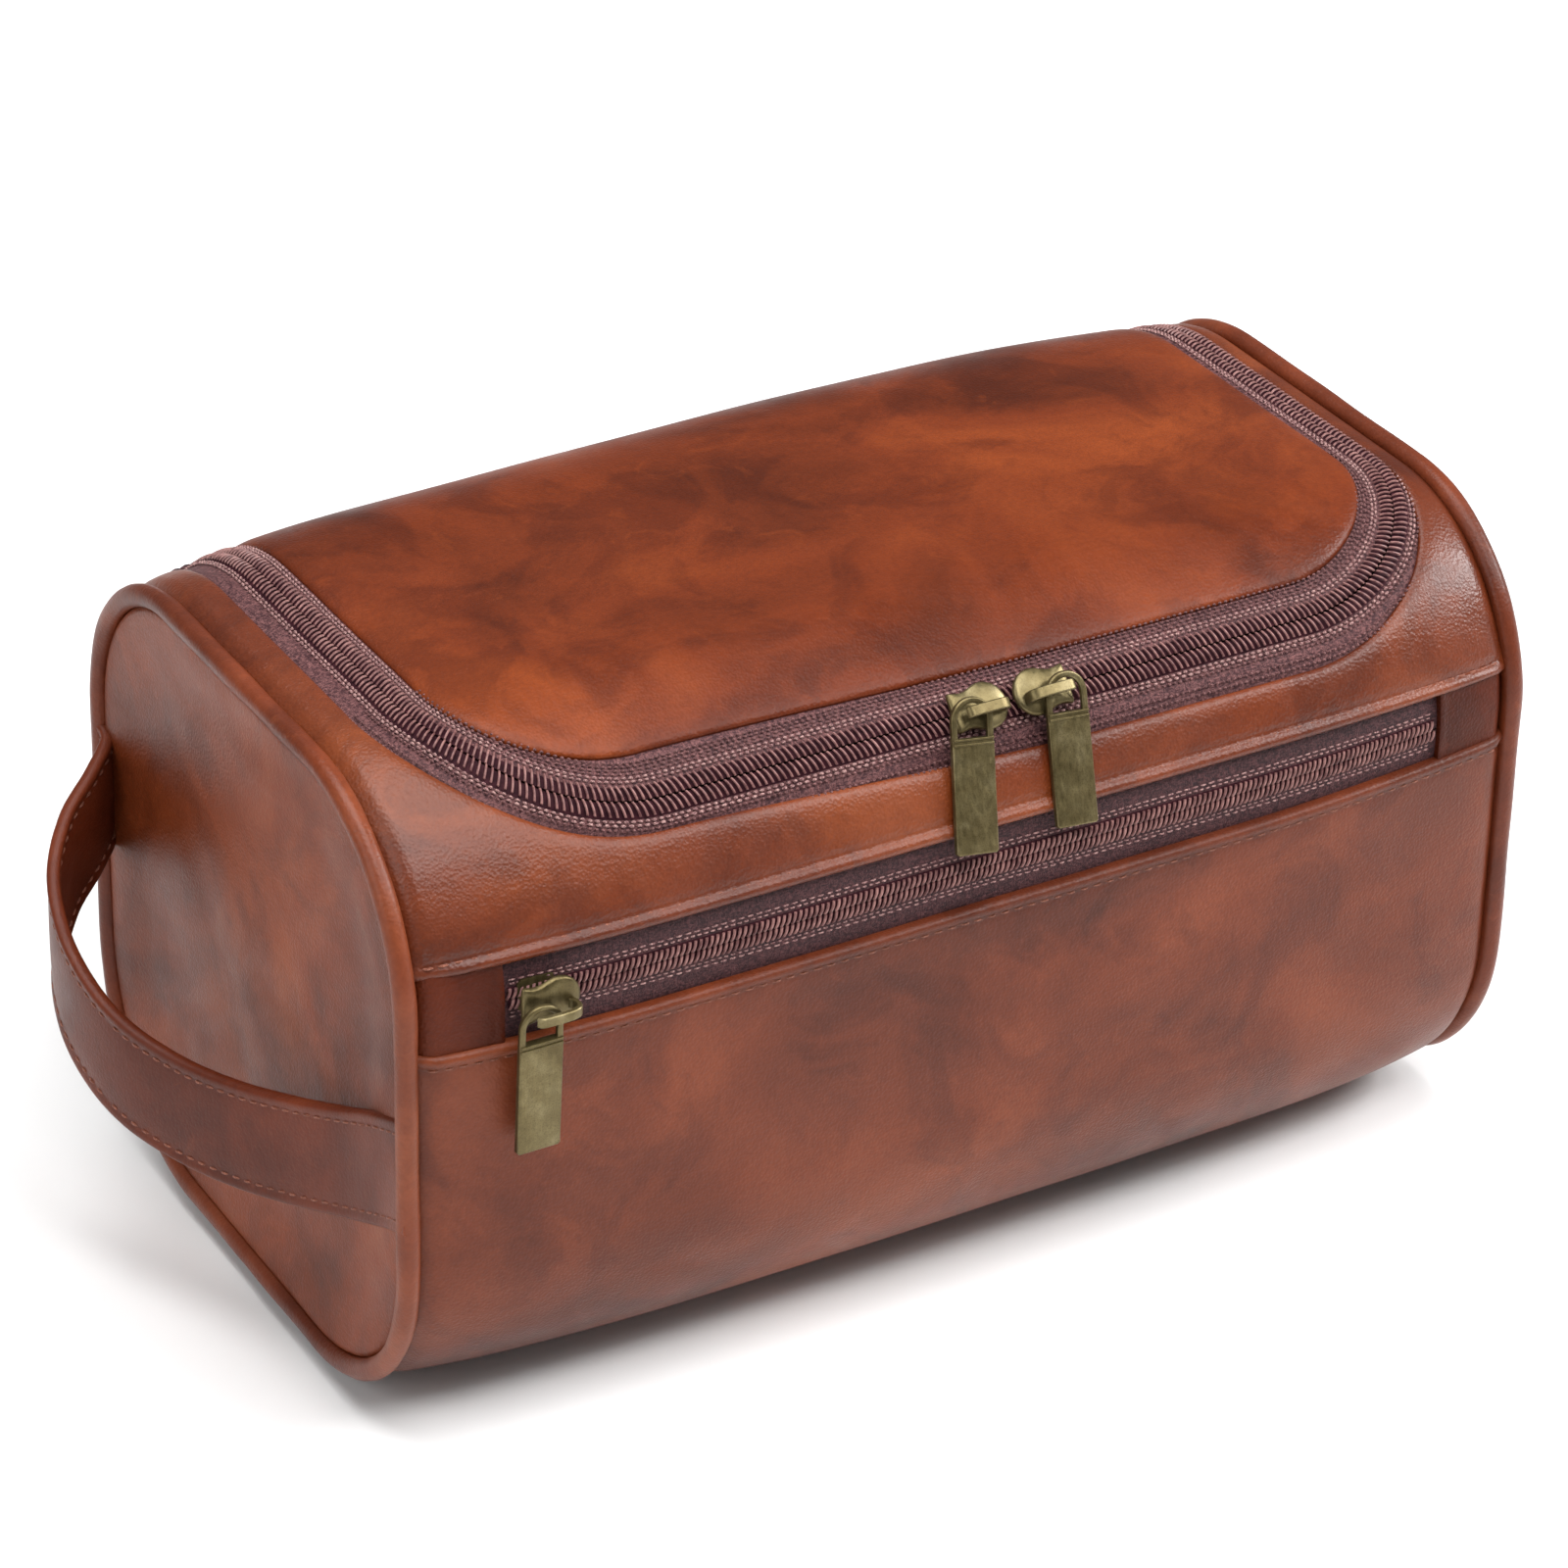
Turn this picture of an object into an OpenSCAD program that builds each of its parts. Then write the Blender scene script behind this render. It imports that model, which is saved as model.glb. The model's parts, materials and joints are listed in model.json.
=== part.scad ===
// Leather shaving kit bag: a padded box with rounded long edges, a zipped lid,
// a zipped front pocket and a strap handle sewn across its left end.
// Origin: centre of the flat underside. +X runs along the bag to the right,
// the front faces -Y, +Z is up. Millimetres.

/* [Bag] */
// Length of the bag between its two end panels
bag_l = 260; // [230:1:300]
// Depth of the bag from front to back
bag_d = 156; // [150:1:165]
// Height of the bag
bag_h = 150; // [146:1:156]
// Radius of the two long edges at the top
top_r = 46; // [44:1:48]
// Radius of the two long edges at the bottom
bottom_r = 48; // [40:1:52]
// Diameter of the piping round each end panel
piping_d = 4.8; // [3:0.1:5]

/* [Layers] */
// Thickness of the outer leather
leather_t = 1.6; // [1.2:0.1:1.8]
// Thickness of the foam padding
foam_t = 2.5; // [2.5:0.1:3]
// Thickness of the fabric lining
lining_t = 0.6; // [0.4:0.1:0.8]
// Thickness of the stiff board inside the bottom
board_t = 1.5; // [1:0.1:3]

/* [Main zip] */
// Half the distance between the zip's two side runs
zip_side = 116; // [110:1:117]
// How far the zip's front run lies in front of the middle of the bag
zip_front = 65.5; // [62:0.5:68]
// Radius of the zip's two corners, seen from above
zip_corner_r = 32; // [24:1:40]
// Where the lid folds, measured from the middle to the back
hinge_back = 64.5; // [60:0.5:68]
// Width of bare tape and coil on the body's side of the zip
bare_body = 7; // [5:0.5:9]
// Width of bare tape and coil on the lid's side of the zip
bare_lid = 8; // [5:0.5:9]

/* [Front pocket] */
// Height of the lower edge of the pocket's window
window_low = 99; // [97:0.5:100]
// Height of the upper edge of the pocket's window
window_high = 115; // [113:0.5:116]
// Height of the middle of the pocket's zip
pocket_zip_z = 106; // [105:0.5:107]
// Depth of the pocket's pouch
pouch_d = 7; // [6:0.5:10]
// Height of the bottom of the pouch
pouch_low = 30; // [30:1:60]

/* [Sliders and pulls] */
// Width of each pull
pull_w = 9.5; // [8.5:0.1:10]
// Length of each of the main zip's pulls below its pivot
pull_drop = 28; // [26:0.5:32]
// Length of the pocket's pull below its pivot
pocket_pull_drop = 31; // [26:0.5:32]
// Thickness of each pull
pull_t = 1.3; // [1:0.1:1.3]
// Lean of the main zip's pulls away from the front, in degrees
main_lean = 22; // [22:1:30]

/* [Handle] */
// Width of the strap
strap_w = 25; // [18:0.5:26]
// Thickness of each of the strap's two layers
strap_layer_t = 1.3; // [1:0.1:1.5]

/* [Hidden] */
$fn = 64;

// Depths below the outer surface at which each layer starts
leather_in = leather_t;
foam_in = leather_in + foam_t;
lining_in = foam_in + lining_t;
tape_t = 0.6;
tape_in = leather_in + tape_t;

half_l = bag_l / 2;
side_l = half_l - leather_t;
pad_l = side_l - foam_t;
lining_l = pad_l - lining_t;
front_y = -bag_d / 2;
far = 400;

// Zip: half the slit between the two coils, width of one coil, how far each tape reaches from the slit
slit = 0.55;
coil_w = 3.2;
tape_reach_lid = 14;
tape_reach_body = 10;
tape_clear = 0.3;
hinge_gap = 0.3;
// Share of a distance along the sloping shoulder that shows from above
slope_share = 0.7;

// Surface point of the main zip's front run, and the tilt of its sliders
shoulder_y = bag_d / 2 - top_r;
shoulder_z = bag_h - top_r;
zip_out = zip_front - shoulder_y;
zip_z = shoulder_z + sqrt(top_r * top_r - zip_out * zip_out);
zip_tilt = asin(zip_out / top_r);

// Slider: plate, tongue and pivot, in the slider's own frame
plate_low = 0.4;
plate_t = 1.4;
nose_r = 4.9;
nose_x = 1.5;
tail_x = -7.6;
tail_w = 7;
pivot_x = -3.6;
pivot_down = 1.2;
pivot_high = 5.6;
tongue_r = 0.75;
tongue_tip = -4.7;
post_x = 2.8;
post_l = 1.6;
post_w = 2.2;
web_l = 10;
web_t = 0.6;
under_high = -2.7;
under_t = 0.9;
under_lid = 4.4;
under_body = -3.3;
under_pocket = 3.5;
web_low = 4.9;
web_high = 1.7;

// Pull: half-round ring at the top, and how far its plane lies behind the pivot
ring_r = pull_w / 2;
ring_bar = 1.65;
ring_top = 2.8;
window_drop = 5.5;
pull_back = tongue_r + pull_t / 2 + 0.1;

// Where the sliders stand along the bag at rest
slider_left_x = 0.3;
slider_right_x = 15;
pocket_slider_x = -102.5;
pocket_lean = -3;

// Pocket: coil depth, slit, and the reach of its tape and tabs
pocket_coil_in = 0.4;
pocket_slit = 0.4;
pocket_coil_w = 2.2;
pocket_tape_low = 93;
pocket_tape_high = 118;
pocket_tape_x = 115;
tab_left_x = -111;
tab_right_x = 109.5;
pouch_x = 112;
pouch_t = 0.6;
pouch_gap = 0.1;

// Strap's route along the left end, from the front seam to the back seam
strap_route = [
    [-131.5, -72, 70], [-131.5, -62, 66], [-133, -50, 61], [-138, -36, 57],
    [-144, -22, 54.5], [-150, -8, 54], [-155.5, 6, 56], [-158, 19, 59.5],
    [-158, 32, 65], [-154.5, 44, 71.5], [-147, 54, 77.5], [-138, 61, 82],
    [-132, 67, 85], [-131.5, 72, 87]
];
strap_steps = 4;
strap_samples = (len(strap_route) - 1) * strap_steps;
strap_front_end = 10;
strap_move_start = 11;
strap_move_end = 41;
strap_back_start = 43;

leather_colour = "saddlebrown";
edge_colour = "sienna";
tape_colour = "#5b3a44";
coil_colour = "#3a1f29";
brass_colour = "darkkhaki";
foam_colour = "gainsboro";
lining_colour = "dimgray";

// ---------- Shared shapes ----------

// Cross-section of the bag, looking along X, drawn in by inset
module profile(inset) {
    d = bag_d / 2 - inset;
    cy_top = bag_d / 2 - top_r;
    cy_bottom = bag_d / 2 - bottom_r;
    translate([-d, bottom_r]) square([2 * d, bag_h - top_r - bottom_r]);
    translate([-cy_top, bag_h - top_r - 1]) square([2 * cy_top, top_r + 1 - inset]);
    translate([-cy_bottom, inset]) square([2 * cy_bottom, bottom_r + 1 - inset]);
    for (side = [-1, 1]) {
        translate([side * cy_top, bag_h - top_r]) circle(top_r - inset);
        translate([side * cy_bottom, bottom_r]) circle(bottom_r - inset);
    }
}

// The cross-section run along X from x0 to x1
module prism(inset, x0, x1) {
    translate([x0, 0, 0]) rotate([90, 0, 90]) linear_extrude(x1 - x0) profile(inset);
}

// A layer of the bag's wall between two depths
module wall(inset_out, inset_in, reach) {
    difference() {
        prism(inset_out, -reach, reach);
        prism(inset_in, -reach - 1, reach + 1);
    }
}

// The zip's outline seen from above, moved out from the slit by grow
module zip_plan(grow, back) {
    hx = zip_side + grow;
    fy = -zip_front - slope_share * grow;
    r = zip_corner_r + grow;
    translate([-hx, fy + r]) square([2 * hx, back - fy - r]);
    translate([-hx + r, fy]) square([2 * (hx - r), r + 1]);
    for (side = [-1, 1]) translate([side * (hx - r), fy + r]) circle(r);
}

// The zip's outline as an upright block through the top of the bag
module zip_block(grow, back) {
    translate([0, 0, bag_h / 2]) linear_extrude(bag_h) zip_plan(grow, back);
}

// Part of a wall layer that lies between two zip outlines
module zip_band(inset_out, inset_in, grow_out, grow_in, back) {
    intersection() {
        wall(inset_out, inset_in, side_l);
        difference() {
            zip_block(grow_out, back);
            zip_block(grow_in, back + 1);
        }
    }
}

// Everything between two heights
module slab(z0, z1) {
    translate([-far / 2, -far / 2, z0]) cube([far, far, z1 - z0]);
}

body_back = hinge_back + hinge_gap;
lid_back = hinge_back - hinge_gap;

// ---------- Leather body ----------

module wrap_panel() {
    color(leather_colour) difference() {
        intersection() {
            wall(0, leather_in, side_l);
            slab(-1, window_high);
        }
        translate([-far / 2, front_y - 1, window_low]) cube([far, bag_d / 2, far]);
    }
}

module top_yoke() {
    color(leather_colour) difference() {
        intersection() {
            wall(0, leather_in, side_l);
            slab(window_high, far);
        }
        zip_block(bare_body, body_back);
    }
}

module pocket_tab(x0, x1) {
    color(edge_colour) intersection() {
        wall(0, leather_in, side_l);
        translate([x0, front_y - 1, window_low]) cube([x1 - x0, 20, window_high - window_low]);
    }
}

module end_panel() {
    color(leather_colour) prism(0, side_l, half_l);
}

// Round cord along the edge of an end panel: four straights and four quarter turns
module piping() {
    r = piping_d / 2;
    inset = r + 0.5;
    cy_top = bag_d / 2 - top_r;
    cy_bottom = bag_d / 2 - bottom_r;
    upright = bag_h - top_r - bottom_r;
    color(edge_colour) translate([half_l + r, 0, 0]) rotate([90, 0, 90]) {
        for (side = [-1, 1]) {
            translate([side * (bag_d / 2 - inset), bottom_r, 0]) rotate([-90, 0, 0])
                cylinder(h = upright, r = r);
            translate([side * cy_top, bag_h - top_r, 0]) rotate([0, 0, side > 0 ? 0 : 90])
                rotate_extrude(angle = 90) translate([top_r - inset, 0]) circle(r);
            translate([side * cy_bottom, bottom_r, 0]) rotate([0, 0, side > 0 ? 270 : 180])
                rotate_extrude(angle = 90) translate([bottom_r - inset, 0]) circle(r);
        }
        translate([-cy_top, bag_h - inset, 0]) rotate([0, 90, 0])
            cylinder(h = 2 * cy_top, r = r);
        translate([-cy_bottom, inset, 0]) rotate([0, 90, 0])
            cylinder(h = 2 * cy_bottom, r = r);
    }
}

// ---------- Inside the body ----------

// Foam leaves the pocket's tapes free, from below them up to the main zip
module body_padding() {
    color(foam_colour) difference() {
        wall(leather_in, foam_in, side_l);
        zip_block(tape_reach_body + tape_clear, body_back);
        translate([-pocket_tape_x - 1, front_y, pocket_tape_low - 1])
            cube([2 * pocket_tape_x + 2, 20, bag_h]);
    }
}

module end_padding() {
    color(foam_colour) prism(foam_in, pad_l, side_l);
}

module body_lining() {
    color(lining_colour) difference() {
        prism(foam_in, -pad_l, pad_l);
        prism(lining_in, -lining_l, lining_l);
        zip_block(tape_reach_body + tape_clear, body_back);
        translate([-pocket_tape_x, front_y, window_low + 1])
            cube([2 * pocket_tape_x, 20, window_high - window_low - 2]);
    }
}

module base_board() {
    board_l = 220;
    board_w = 54;
    color("tan") translate([-board_l / 2, -board_w / 2, lining_in])
        cube([board_l, board_w, board_t]);
}

// ---------- Main zip on the body ----------

module zip_tape_body() {
    color(tape_colour) zip_band(leather_in, tape_in, tape_reach_body, slit, body_back);
}

module zip_coil_body() {
    color(coil_colour) zip_band(0, leather_in, coil_w, slit, body_back);
}

// Folded fabric end of the zip, on the back just behind the fold of the lid
module zip_end_tab() {
    tab_w = 12;
    tab_l = 6;
    tab_rise = 1;
    tab_gap = 1.6;
    color(tape_colour) intersection() {
        wall(-tab_rise, 0, side_l);
        translate([zip_side - tab_w / 2, body_back + tab_gap, bag_h / 2]) cube([tab_w, tab_l, bag_h]);
    }
}

// ---------- Front pocket ----------

// The space the pouch takes up behind the lining, drawn in by inset
module pouch_space(inset) {
    front = lining_in + pouch_gap;
    intersection() {
        prism(front + inset, -pouch_x + inset, pouch_x - inset);
        translate([-pouch_x, front_y, pouch_low + inset])
            cube([2 * pouch_x, front + pouch_d - inset, window_high - pouch_low - 2 * inset]);
    }
}

module pocket_pouch() {
    color(lining_colour) difference() {
        pouch_space(0);
        pouch_space(pouch_t);
        translate([-pouch_x + pouch_t, front_y, window_low + 1])
            cube([2 * (pouch_x - pouch_t), lining_in + pouch_d / 2, window_high - window_low - 2]);
    }
}

// Part of the front wall's layer between two depths, from x0 to x1 and z0 to z1
module front_strip(inset_out, inset_in, x0, x1, z0, z1) {
    intersection() {
        wall(inset_out, inset_in, side_l);
        translate([x0, front_y, z0]) cube([x1 - x0, 20, z1 - z0]);
    }
}

module pocket_tape(z0, z1) {
    color(tape_colour) front_strip(leather_in, tape_in, -pocket_tape_x, pocket_tape_x, z0, z1);
}

module pocket_coil(z0) {
    color(coil_colour)
        front_strip(pocket_coil_in, leather_in, tab_left_x, tab_right_x, z0, z0 + pocket_coil_w);
}

module pocket_tape_upper() { pocket_tape(pocket_zip_z + pocket_slit, pocket_tape_high); }
module pocket_tape_lower() { pocket_tape(pocket_tape_low, pocket_zip_z - pocket_slit); }
module pocket_coil_upper() { pocket_coil(pocket_zip_z + pocket_slit); }
module pocket_coil_lower() { pocket_coil(pocket_zip_z - pocket_slit - pocket_coil_w); }

// ---------- Lid ----------

module lid_piece(inset_out, inset_in, grow) {
    intersection() {
        wall(inset_out, inset_in, side_l);
        zip_block(grow, lid_back);
    }
}

module lid_panel() {
    color(leather_colour) lid_piece(0, leather_in, -bare_lid);
}

module lid_padding() {
    color(foam_colour) lid_piece(leather_in, foam_in, -tape_reach_lid - tape_clear);
}

module lid_lining() {
    color(lining_colour) lid_piece(foam_in, lining_in, -tape_reach_lid - tape_clear);
}

module zip_tape_lid() {
    color(tape_colour) zip_band(leather_in, tape_in, -slit, -tape_reach_lid, lid_back);
}

module zip_coil_lid() {
    color(coil_colour) zip_band(0, leather_in, -slit, -coil_w, lid_back);
}

// ---------- Sliders and pulls ----------

// Teardrop plate with the tongue that carries the pull. Local x along the zip, z outwards
module slider_top() {
    translate([0, 0, plate_low]) linear_extrude(plate_t) {
        translate([nose_x, 0]) circle(nose_r);
        polygon([[tail_x, -tail_w / 2], [nose_x, -nose_r], [nose_x, nose_r], [tail_x, tail_w / 2]]);
    }
    translate([tongue_tip, -pivot_down, pivot_high]) rotate([0, 90, 0])
        cylinder(h = post_x + post_l - tongue_tip, r = tongue_r);
    translate([post_x, -pivot_down - post_w / 2, plate_low])
        cube([post_l, post_w, pivot_high + tongue_r - plate_low]);
}

// Plate behind the tape, from y0 to y1 across the zip
module slider_under(y0, y1) {
    translate([-web_l / 2, y0, under_high - under_t]) cube([web_l, y1 - y0, under_t]);
}

// A slider of the main zip. It rides on the lid's half of the zip
module main_slider(x, side) {
    color(brass_colour) translate([x, 0, 0]) facing(side) {
        translate([0, -zip_front, zip_z]) rotate([zip_tilt, 0, 0]) {
            slider_top();
            slider_under(under_body, under_lid);
        }
        translate([-web_l / 2, -zip_front - web_t / 2, zip_z - web_low])
            cube([web_l, web_t, web_low + web_high]);
    }
}

// Turns the children's nose to the right for side 1 and to the left for side -1
module facing(side) {
    if (side > 0) children();
    else mirror([1, 0, 0]) children();
}

// A pull hanging from the origin, which is its pivot, with its plane behind the pivot
module pull(lean, drop) {
    color(brass_colour) rotate([-lean, 0, 0])
        translate([0, pull_back + pull_t / 2, 0]) rotate([90, 0, 0]) linear_extrude(pull_t)
            difference() {
                union() {
                    translate([0, ring_top - ring_r]) circle(ring_r);
                    translate([-pull_w / 2, -drop]) square([pull_w, drop + ring_top - ring_r]);
                }
                translate([0, ring_top - ring_r]) circle(ring_r - ring_bar);
                translate([-ring_r + ring_bar, -window_drop])
                    square([2 * (ring_r - ring_bar), window_drop + ring_top - ring_r]);
            }
}

// Pivot of a main pull, across and up, worked out from the slider's frame
main_pivot_y = -zip_front - pivot_high * sin(zip_tilt) - pivot_down * cos(zip_tilt);
main_pivot_z = zip_z + pivot_high * cos(zip_tilt) - pivot_down * sin(zip_tilt);
pocket_pivot_y = front_y + pocket_coil_in - pivot_high;
pocket_pivot_z = pocket_zip_z - pivot_down;

module slider_left() { main_slider(slider_left_x, 1); }
module slider_right() { main_slider(slider_right_x, -1); }

module pull_left() {
    translate([slider_left_x + pivot_x, main_pivot_y, main_pivot_z]) pull(main_lean, pull_drop);
}

module pull_right() {
    translate([slider_right_x - pivot_x, main_pivot_y, main_pivot_z]) pull(main_lean, pull_drop);
}

module pocket_slider() {
    color(brass_colour) translate([pocket_slider_x, front_y + pocket_coil_in, pocket_zip_z])
        rotate([90, 0, 0]) {
            slider_top();
            slider_under(-under_pocket, under_pocket);
            translate([-web_l / 2, -pocket_slit / 2, under_high - 0.1])
                cube([web_l, pocket_slit, plate_low - under_high + 0.2]);
        }
}

module pocket_pull() {
    translate([pocket_slider_x + pivot_x, pocket_pivot_y, pocket_pivot_z]) pull(pocket_lean, pocket_pull_drop);
}

// ---------- Strap handle ----------

// Point on the smooth curve through the route, i steps from its front end
function route_at(k) = strap_route[max(0, min(len(strap_route) - 1, k))];
function spline(a, b, c, d, t) =
    0.5 * (2 * b + (c - a) * t + (2 * a - 5 * b + 4 * c - d) * t * t
           + (3 * b - a - 3 * c + d) * t * t * t);
function strap_at(i) =
    let (k = floor(i / strap_steps), t = i / strap_steps - k)
    spline(route_at(k - 1), route_at(k), route_at(k + 1), route_at(k + 2), t);

// Level direction square to the strap, pointing away from the bag
function strap_out(i) =
    let (d = strap_at(i + 0.5) - strap_at(i - 0.5), n = norm([d.x, d.y]))
    [-d.y / n, d.x / n, 0];

// Corner j of the strap's rectangular section at step i, between two offsets
function strap_corner(i, j, out0, out1) =
    strap_at(i) + strap_out(i) * (j == 0 || j == 3 ? out0 : out1)
    + [0, 0, (j < 2 ? -1 : 1) * strap_w / 2];

module strap_layer(i0, i1, out0, out1) {
    n = i1 - i0;
    points = [for (i = [i0:i1]) for (j = [0:3]) strap_corner(i, j, out0, out1)];
    sides = [for (i = [0:n - 1]) for (j = [0:3])
        for (f = [[4 * i + j, 4 * i + 4 + (j + 1) % 4, 4 * i + (j + 1) % 4],
                  [4 * i + j, 4 * i + 4 + j, 4 * i + 4 + (j + 1) % 4]]) f];
    ends = [[0, 1, 2], [0, 2, 3], [4 * n + 2, 4 * n + 1, 4 * n], [4 * n + 3, 4 * n + 2, 4 * n]];
    color(leather_colour) polyhedron(points, concat(sides, ends));
}

module strap_end_front() {
    strap_layer(0, strap_front_end, -strap_layer_t, strap_layer_t);
}

module strap_end_back() {
    strap_layer(strap_back_start, strap_samples, -strap_layer_t, strap_layer_t);
}

module handle_outer() { strap_layer(strap_move_start, strap_move_end, 0, strap_layer_t); }
module handle_inner() { strap_layer(strap_move_start, strap_move_end, -strap_layer_t, 0); }

// ---------- Nodes ----------

wrap_panel();
top_yoke();
pocket_tab(-side_l, tab_left_x);  // pocket_tab_left
pocket_tab(tab_right_x, side_l);  // pocket_tab_right
mirror([1, 0, 0]) end_panel();  // end_panel_left
end_panel();  // end_panel_right
mirror([1, 0, 0]) piping();  // piping_left
piping();  // piping_right
body_padding();
mirror([1, 0, 0]) end_padding();  // end_padding_left
end_padding();  // end_padding_right
body_lining();
base_board();
zip_tape_body();
zip_coil_body();
mirror([1, 0, 0]) zip_end_tab();  // zip_end_tab_left
zip_end_tab();  // zip_end_tab_right
pocket_pouch();
pocket_tape_upper();
pocket_tape_lower();
pocket_coil_upper();
pocket_coil_lower();
strap_end_front();
strap_end_back();
lid_panel();
lid_padding();
lid_lining();
zip_tape_lid();
zip_coil_lid();
slider_left();
slider_right();
pull_left();
pull_right();
pocket_slider();
pocket_pull();
handle_outer();
handle_inner();
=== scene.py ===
"""Looks of the leather shaving kit bag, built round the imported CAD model.

Lengths in this file are millimetres unless a name ends in _m; meshes are made in metres.
The bag's skin is described on its unrolled surface: x runs along the bag, and v is the
distance round its cross-section from the middle of the top, negative to the front and
positive to the back. place() wraps a point (x, v, depth) onto the bag.
"""

import json
import math

import bmesh
import bpy
import numpy as np
from mathutils import Matrix, Vector


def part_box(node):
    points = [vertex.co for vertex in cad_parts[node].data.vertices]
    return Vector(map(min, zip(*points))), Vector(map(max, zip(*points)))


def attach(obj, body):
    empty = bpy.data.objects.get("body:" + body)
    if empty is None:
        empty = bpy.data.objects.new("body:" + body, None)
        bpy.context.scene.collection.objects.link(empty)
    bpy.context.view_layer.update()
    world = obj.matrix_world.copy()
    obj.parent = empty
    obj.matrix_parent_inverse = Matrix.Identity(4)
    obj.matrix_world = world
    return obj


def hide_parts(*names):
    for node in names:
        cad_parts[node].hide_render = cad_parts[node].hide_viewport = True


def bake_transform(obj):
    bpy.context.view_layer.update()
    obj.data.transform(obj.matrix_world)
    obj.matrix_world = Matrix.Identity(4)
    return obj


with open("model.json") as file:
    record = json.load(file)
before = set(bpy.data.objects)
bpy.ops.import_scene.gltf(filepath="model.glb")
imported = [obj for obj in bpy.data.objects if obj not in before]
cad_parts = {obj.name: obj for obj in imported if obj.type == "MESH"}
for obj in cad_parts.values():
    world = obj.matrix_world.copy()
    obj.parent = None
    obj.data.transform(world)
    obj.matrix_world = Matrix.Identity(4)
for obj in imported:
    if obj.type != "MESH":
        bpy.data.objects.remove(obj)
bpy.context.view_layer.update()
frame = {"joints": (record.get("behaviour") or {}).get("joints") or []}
MM = 0.001


def cad_mm(node):
    """Lowest and highest corner of a CAD node, in millimetres."""
    low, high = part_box(node)
    return np.array(low) / MM, np.array(high) / MM


# ---------- Sizes, from the frame ----------

HALF_L, HALF_D, HEIGHT = cad_mm("end_panel_right")[1]
TOP_R = 46.0
BOTTOM_R = 48.0
TOP_FLAT = HALF_D - TOP_R
WALL = HEIGHT - TOP_R - BOTTOM_R
BOTTOM_FLAT = HALF_D - BOTTOM_R
V_WALL = TOP_FLAT + TOP_R * math.pi / 2
V_BOTTOM = V_WALL + WALL
V_HALF = V_BOTTOM + BOTTOM_R * math.pi / 2 + BOTTOM_FLAT

# The sewn ends are drawn in a little, so that the bag is fullest in the middle
END_DRAW = 5.0
END_TUCK = 2.1
PIPING_R = 2.4
LEATHER = 1.6

# Main zip on the unrolled surface: its outline, how far that and the coil lie to the right of the bag's
# middle, and how far the coil's right end is drawn in
ZIP_X = 115.4
ZIP_V = 69.5
ZIP_SHIFT = 2.9
COIL_SHIFT = 5.1
COIL_IN = 1.5
CORNER_X = 40.0
CORNER_V = 42.0
CORNER_CX = ZIP_X - CORNER_X
CORNER_CV = -(ZIP_V - CORNER_V)
SLIT = 0.25
# Where the woven ridges, which run beside the front of the zip, end at both sides
V_FRONT_RUN = -25.0
# The line that the lid turns about, and where the fold beside it starts and ends
HINGE_Y = 64.5
FOLD_HALF = 8.0
V_HINGE = TOP_FLAT + TOP_R * math.asin((HINGE_Y - TOP_FLAT) / TOP_R)
V_FOLD_BODY = V_HINGE + FOLD_HALF
V_FOLD_LID = V_HINGE - FOLD_HALF
# Cut edges of the leather beside the zip: side and front offsets, then how far the edge goes back at the
# left front corner and right along the right end
BARE_BODY = (7.0, 10.8, 4.4, -3.1)
BARE_LID = (-8.0, -7.8, 2.6, 2.4)

# Front pocket's window between its two sewn edges, and the back seam
WINDOW_TOP_Z = 114.6
WINDOW_LOW_Z = 99.3
LEFT_DROP = 2.4
V_UPPER = -(V_WALL - TOP_R * math.asin((WINDOW_TOP_Z - HEIGHT + TOP_R) / TOP_R))
V_LOWER = -(V_WALL + (HEIGHT - TOP_R) - WINDOW_LOW_Z)
V_LOWER_LEFT = V_LOWER - LEFT_DROP
V_BACK_SEAM = -V_UPPER
POCKET_ZIP_Z = 106.0
TAB_LEFT_X = -111.0
TAB_RIGHT_X = 109.5


def smooth(t):
    """0 below 0, 1 above 1, and an even curve between."""
    t = np.clip(t, 0, 1)
    return t * t * (3 - 2 * t)


def unit(vectors):
    """The same directions, one long."""
    return vectors / np.linalg.norm(vectors, axis=-1, keepdims=True)


def distances(points):
    """How far along a line each of its points lies."""
    return np.concatenate([[0], np.cumsum(np.linalg.norm(np.diff(points, axis=0), axis=1))])


def pick(values, s, at):
    """Rows of values, which lie at distances s, read off at other distances."""
    return np.stack([np.interp(at, s, column) for column in values.T], 1)


def one_turn(v):
    """v brought into a single turn round the cross-section."""
    return (np.asarray(v, float) + V_HALF) % (2 * V_HALF) - V_HALF


def profile(v):
    """Cross-section point (y, z) and outward normal (ny, nz) at v."""
    v = one_turn(v)
    a, side = np.abs(v), np.sign(v)
    y, z, ny, nz = np.zeros_like(a), np.zeros_like(a), np.zeros_like(a), np.zeros_like(a)
    parts = (
        (a <= TOP_FLAT, lambda a: (a, HEIGHT + 0 * a, 0 * a, 1 + 0 * a)),
        ((a > TOP_FLAT) & (a <= V_WALL), lambda a: arc(a, TOP_FLAT, TOP_R, HEIGHT - TOP_R, 0)),
        (
            (a > V_WALL) & (a <= V_BOTTOM),
            lambda a: (HALF_D + 0 * a, HEIGHT - TOP_R - (a - V_WALL), 1 + 0 * a, 0 * a),
        ),
        ((a > V_BOTTOM) & (a <= V_HALF - BOTTOM_FLAT), lambda a: arc(a, V_BOTTOM, BOTTOM_R, BOTTOM_R, 1)),
        (a > V_HALF - BOTTOM_FLAT, lambda a: (V_HALF - a, 0 * a, 0 * a, -1 + 0 * a)),
    )
    for where, shape in parts:
        if where.any():
            y[where], z[where], ny[where], nz[where] = shape(a[where])
    return y * side, z, ny * side, nz


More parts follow.
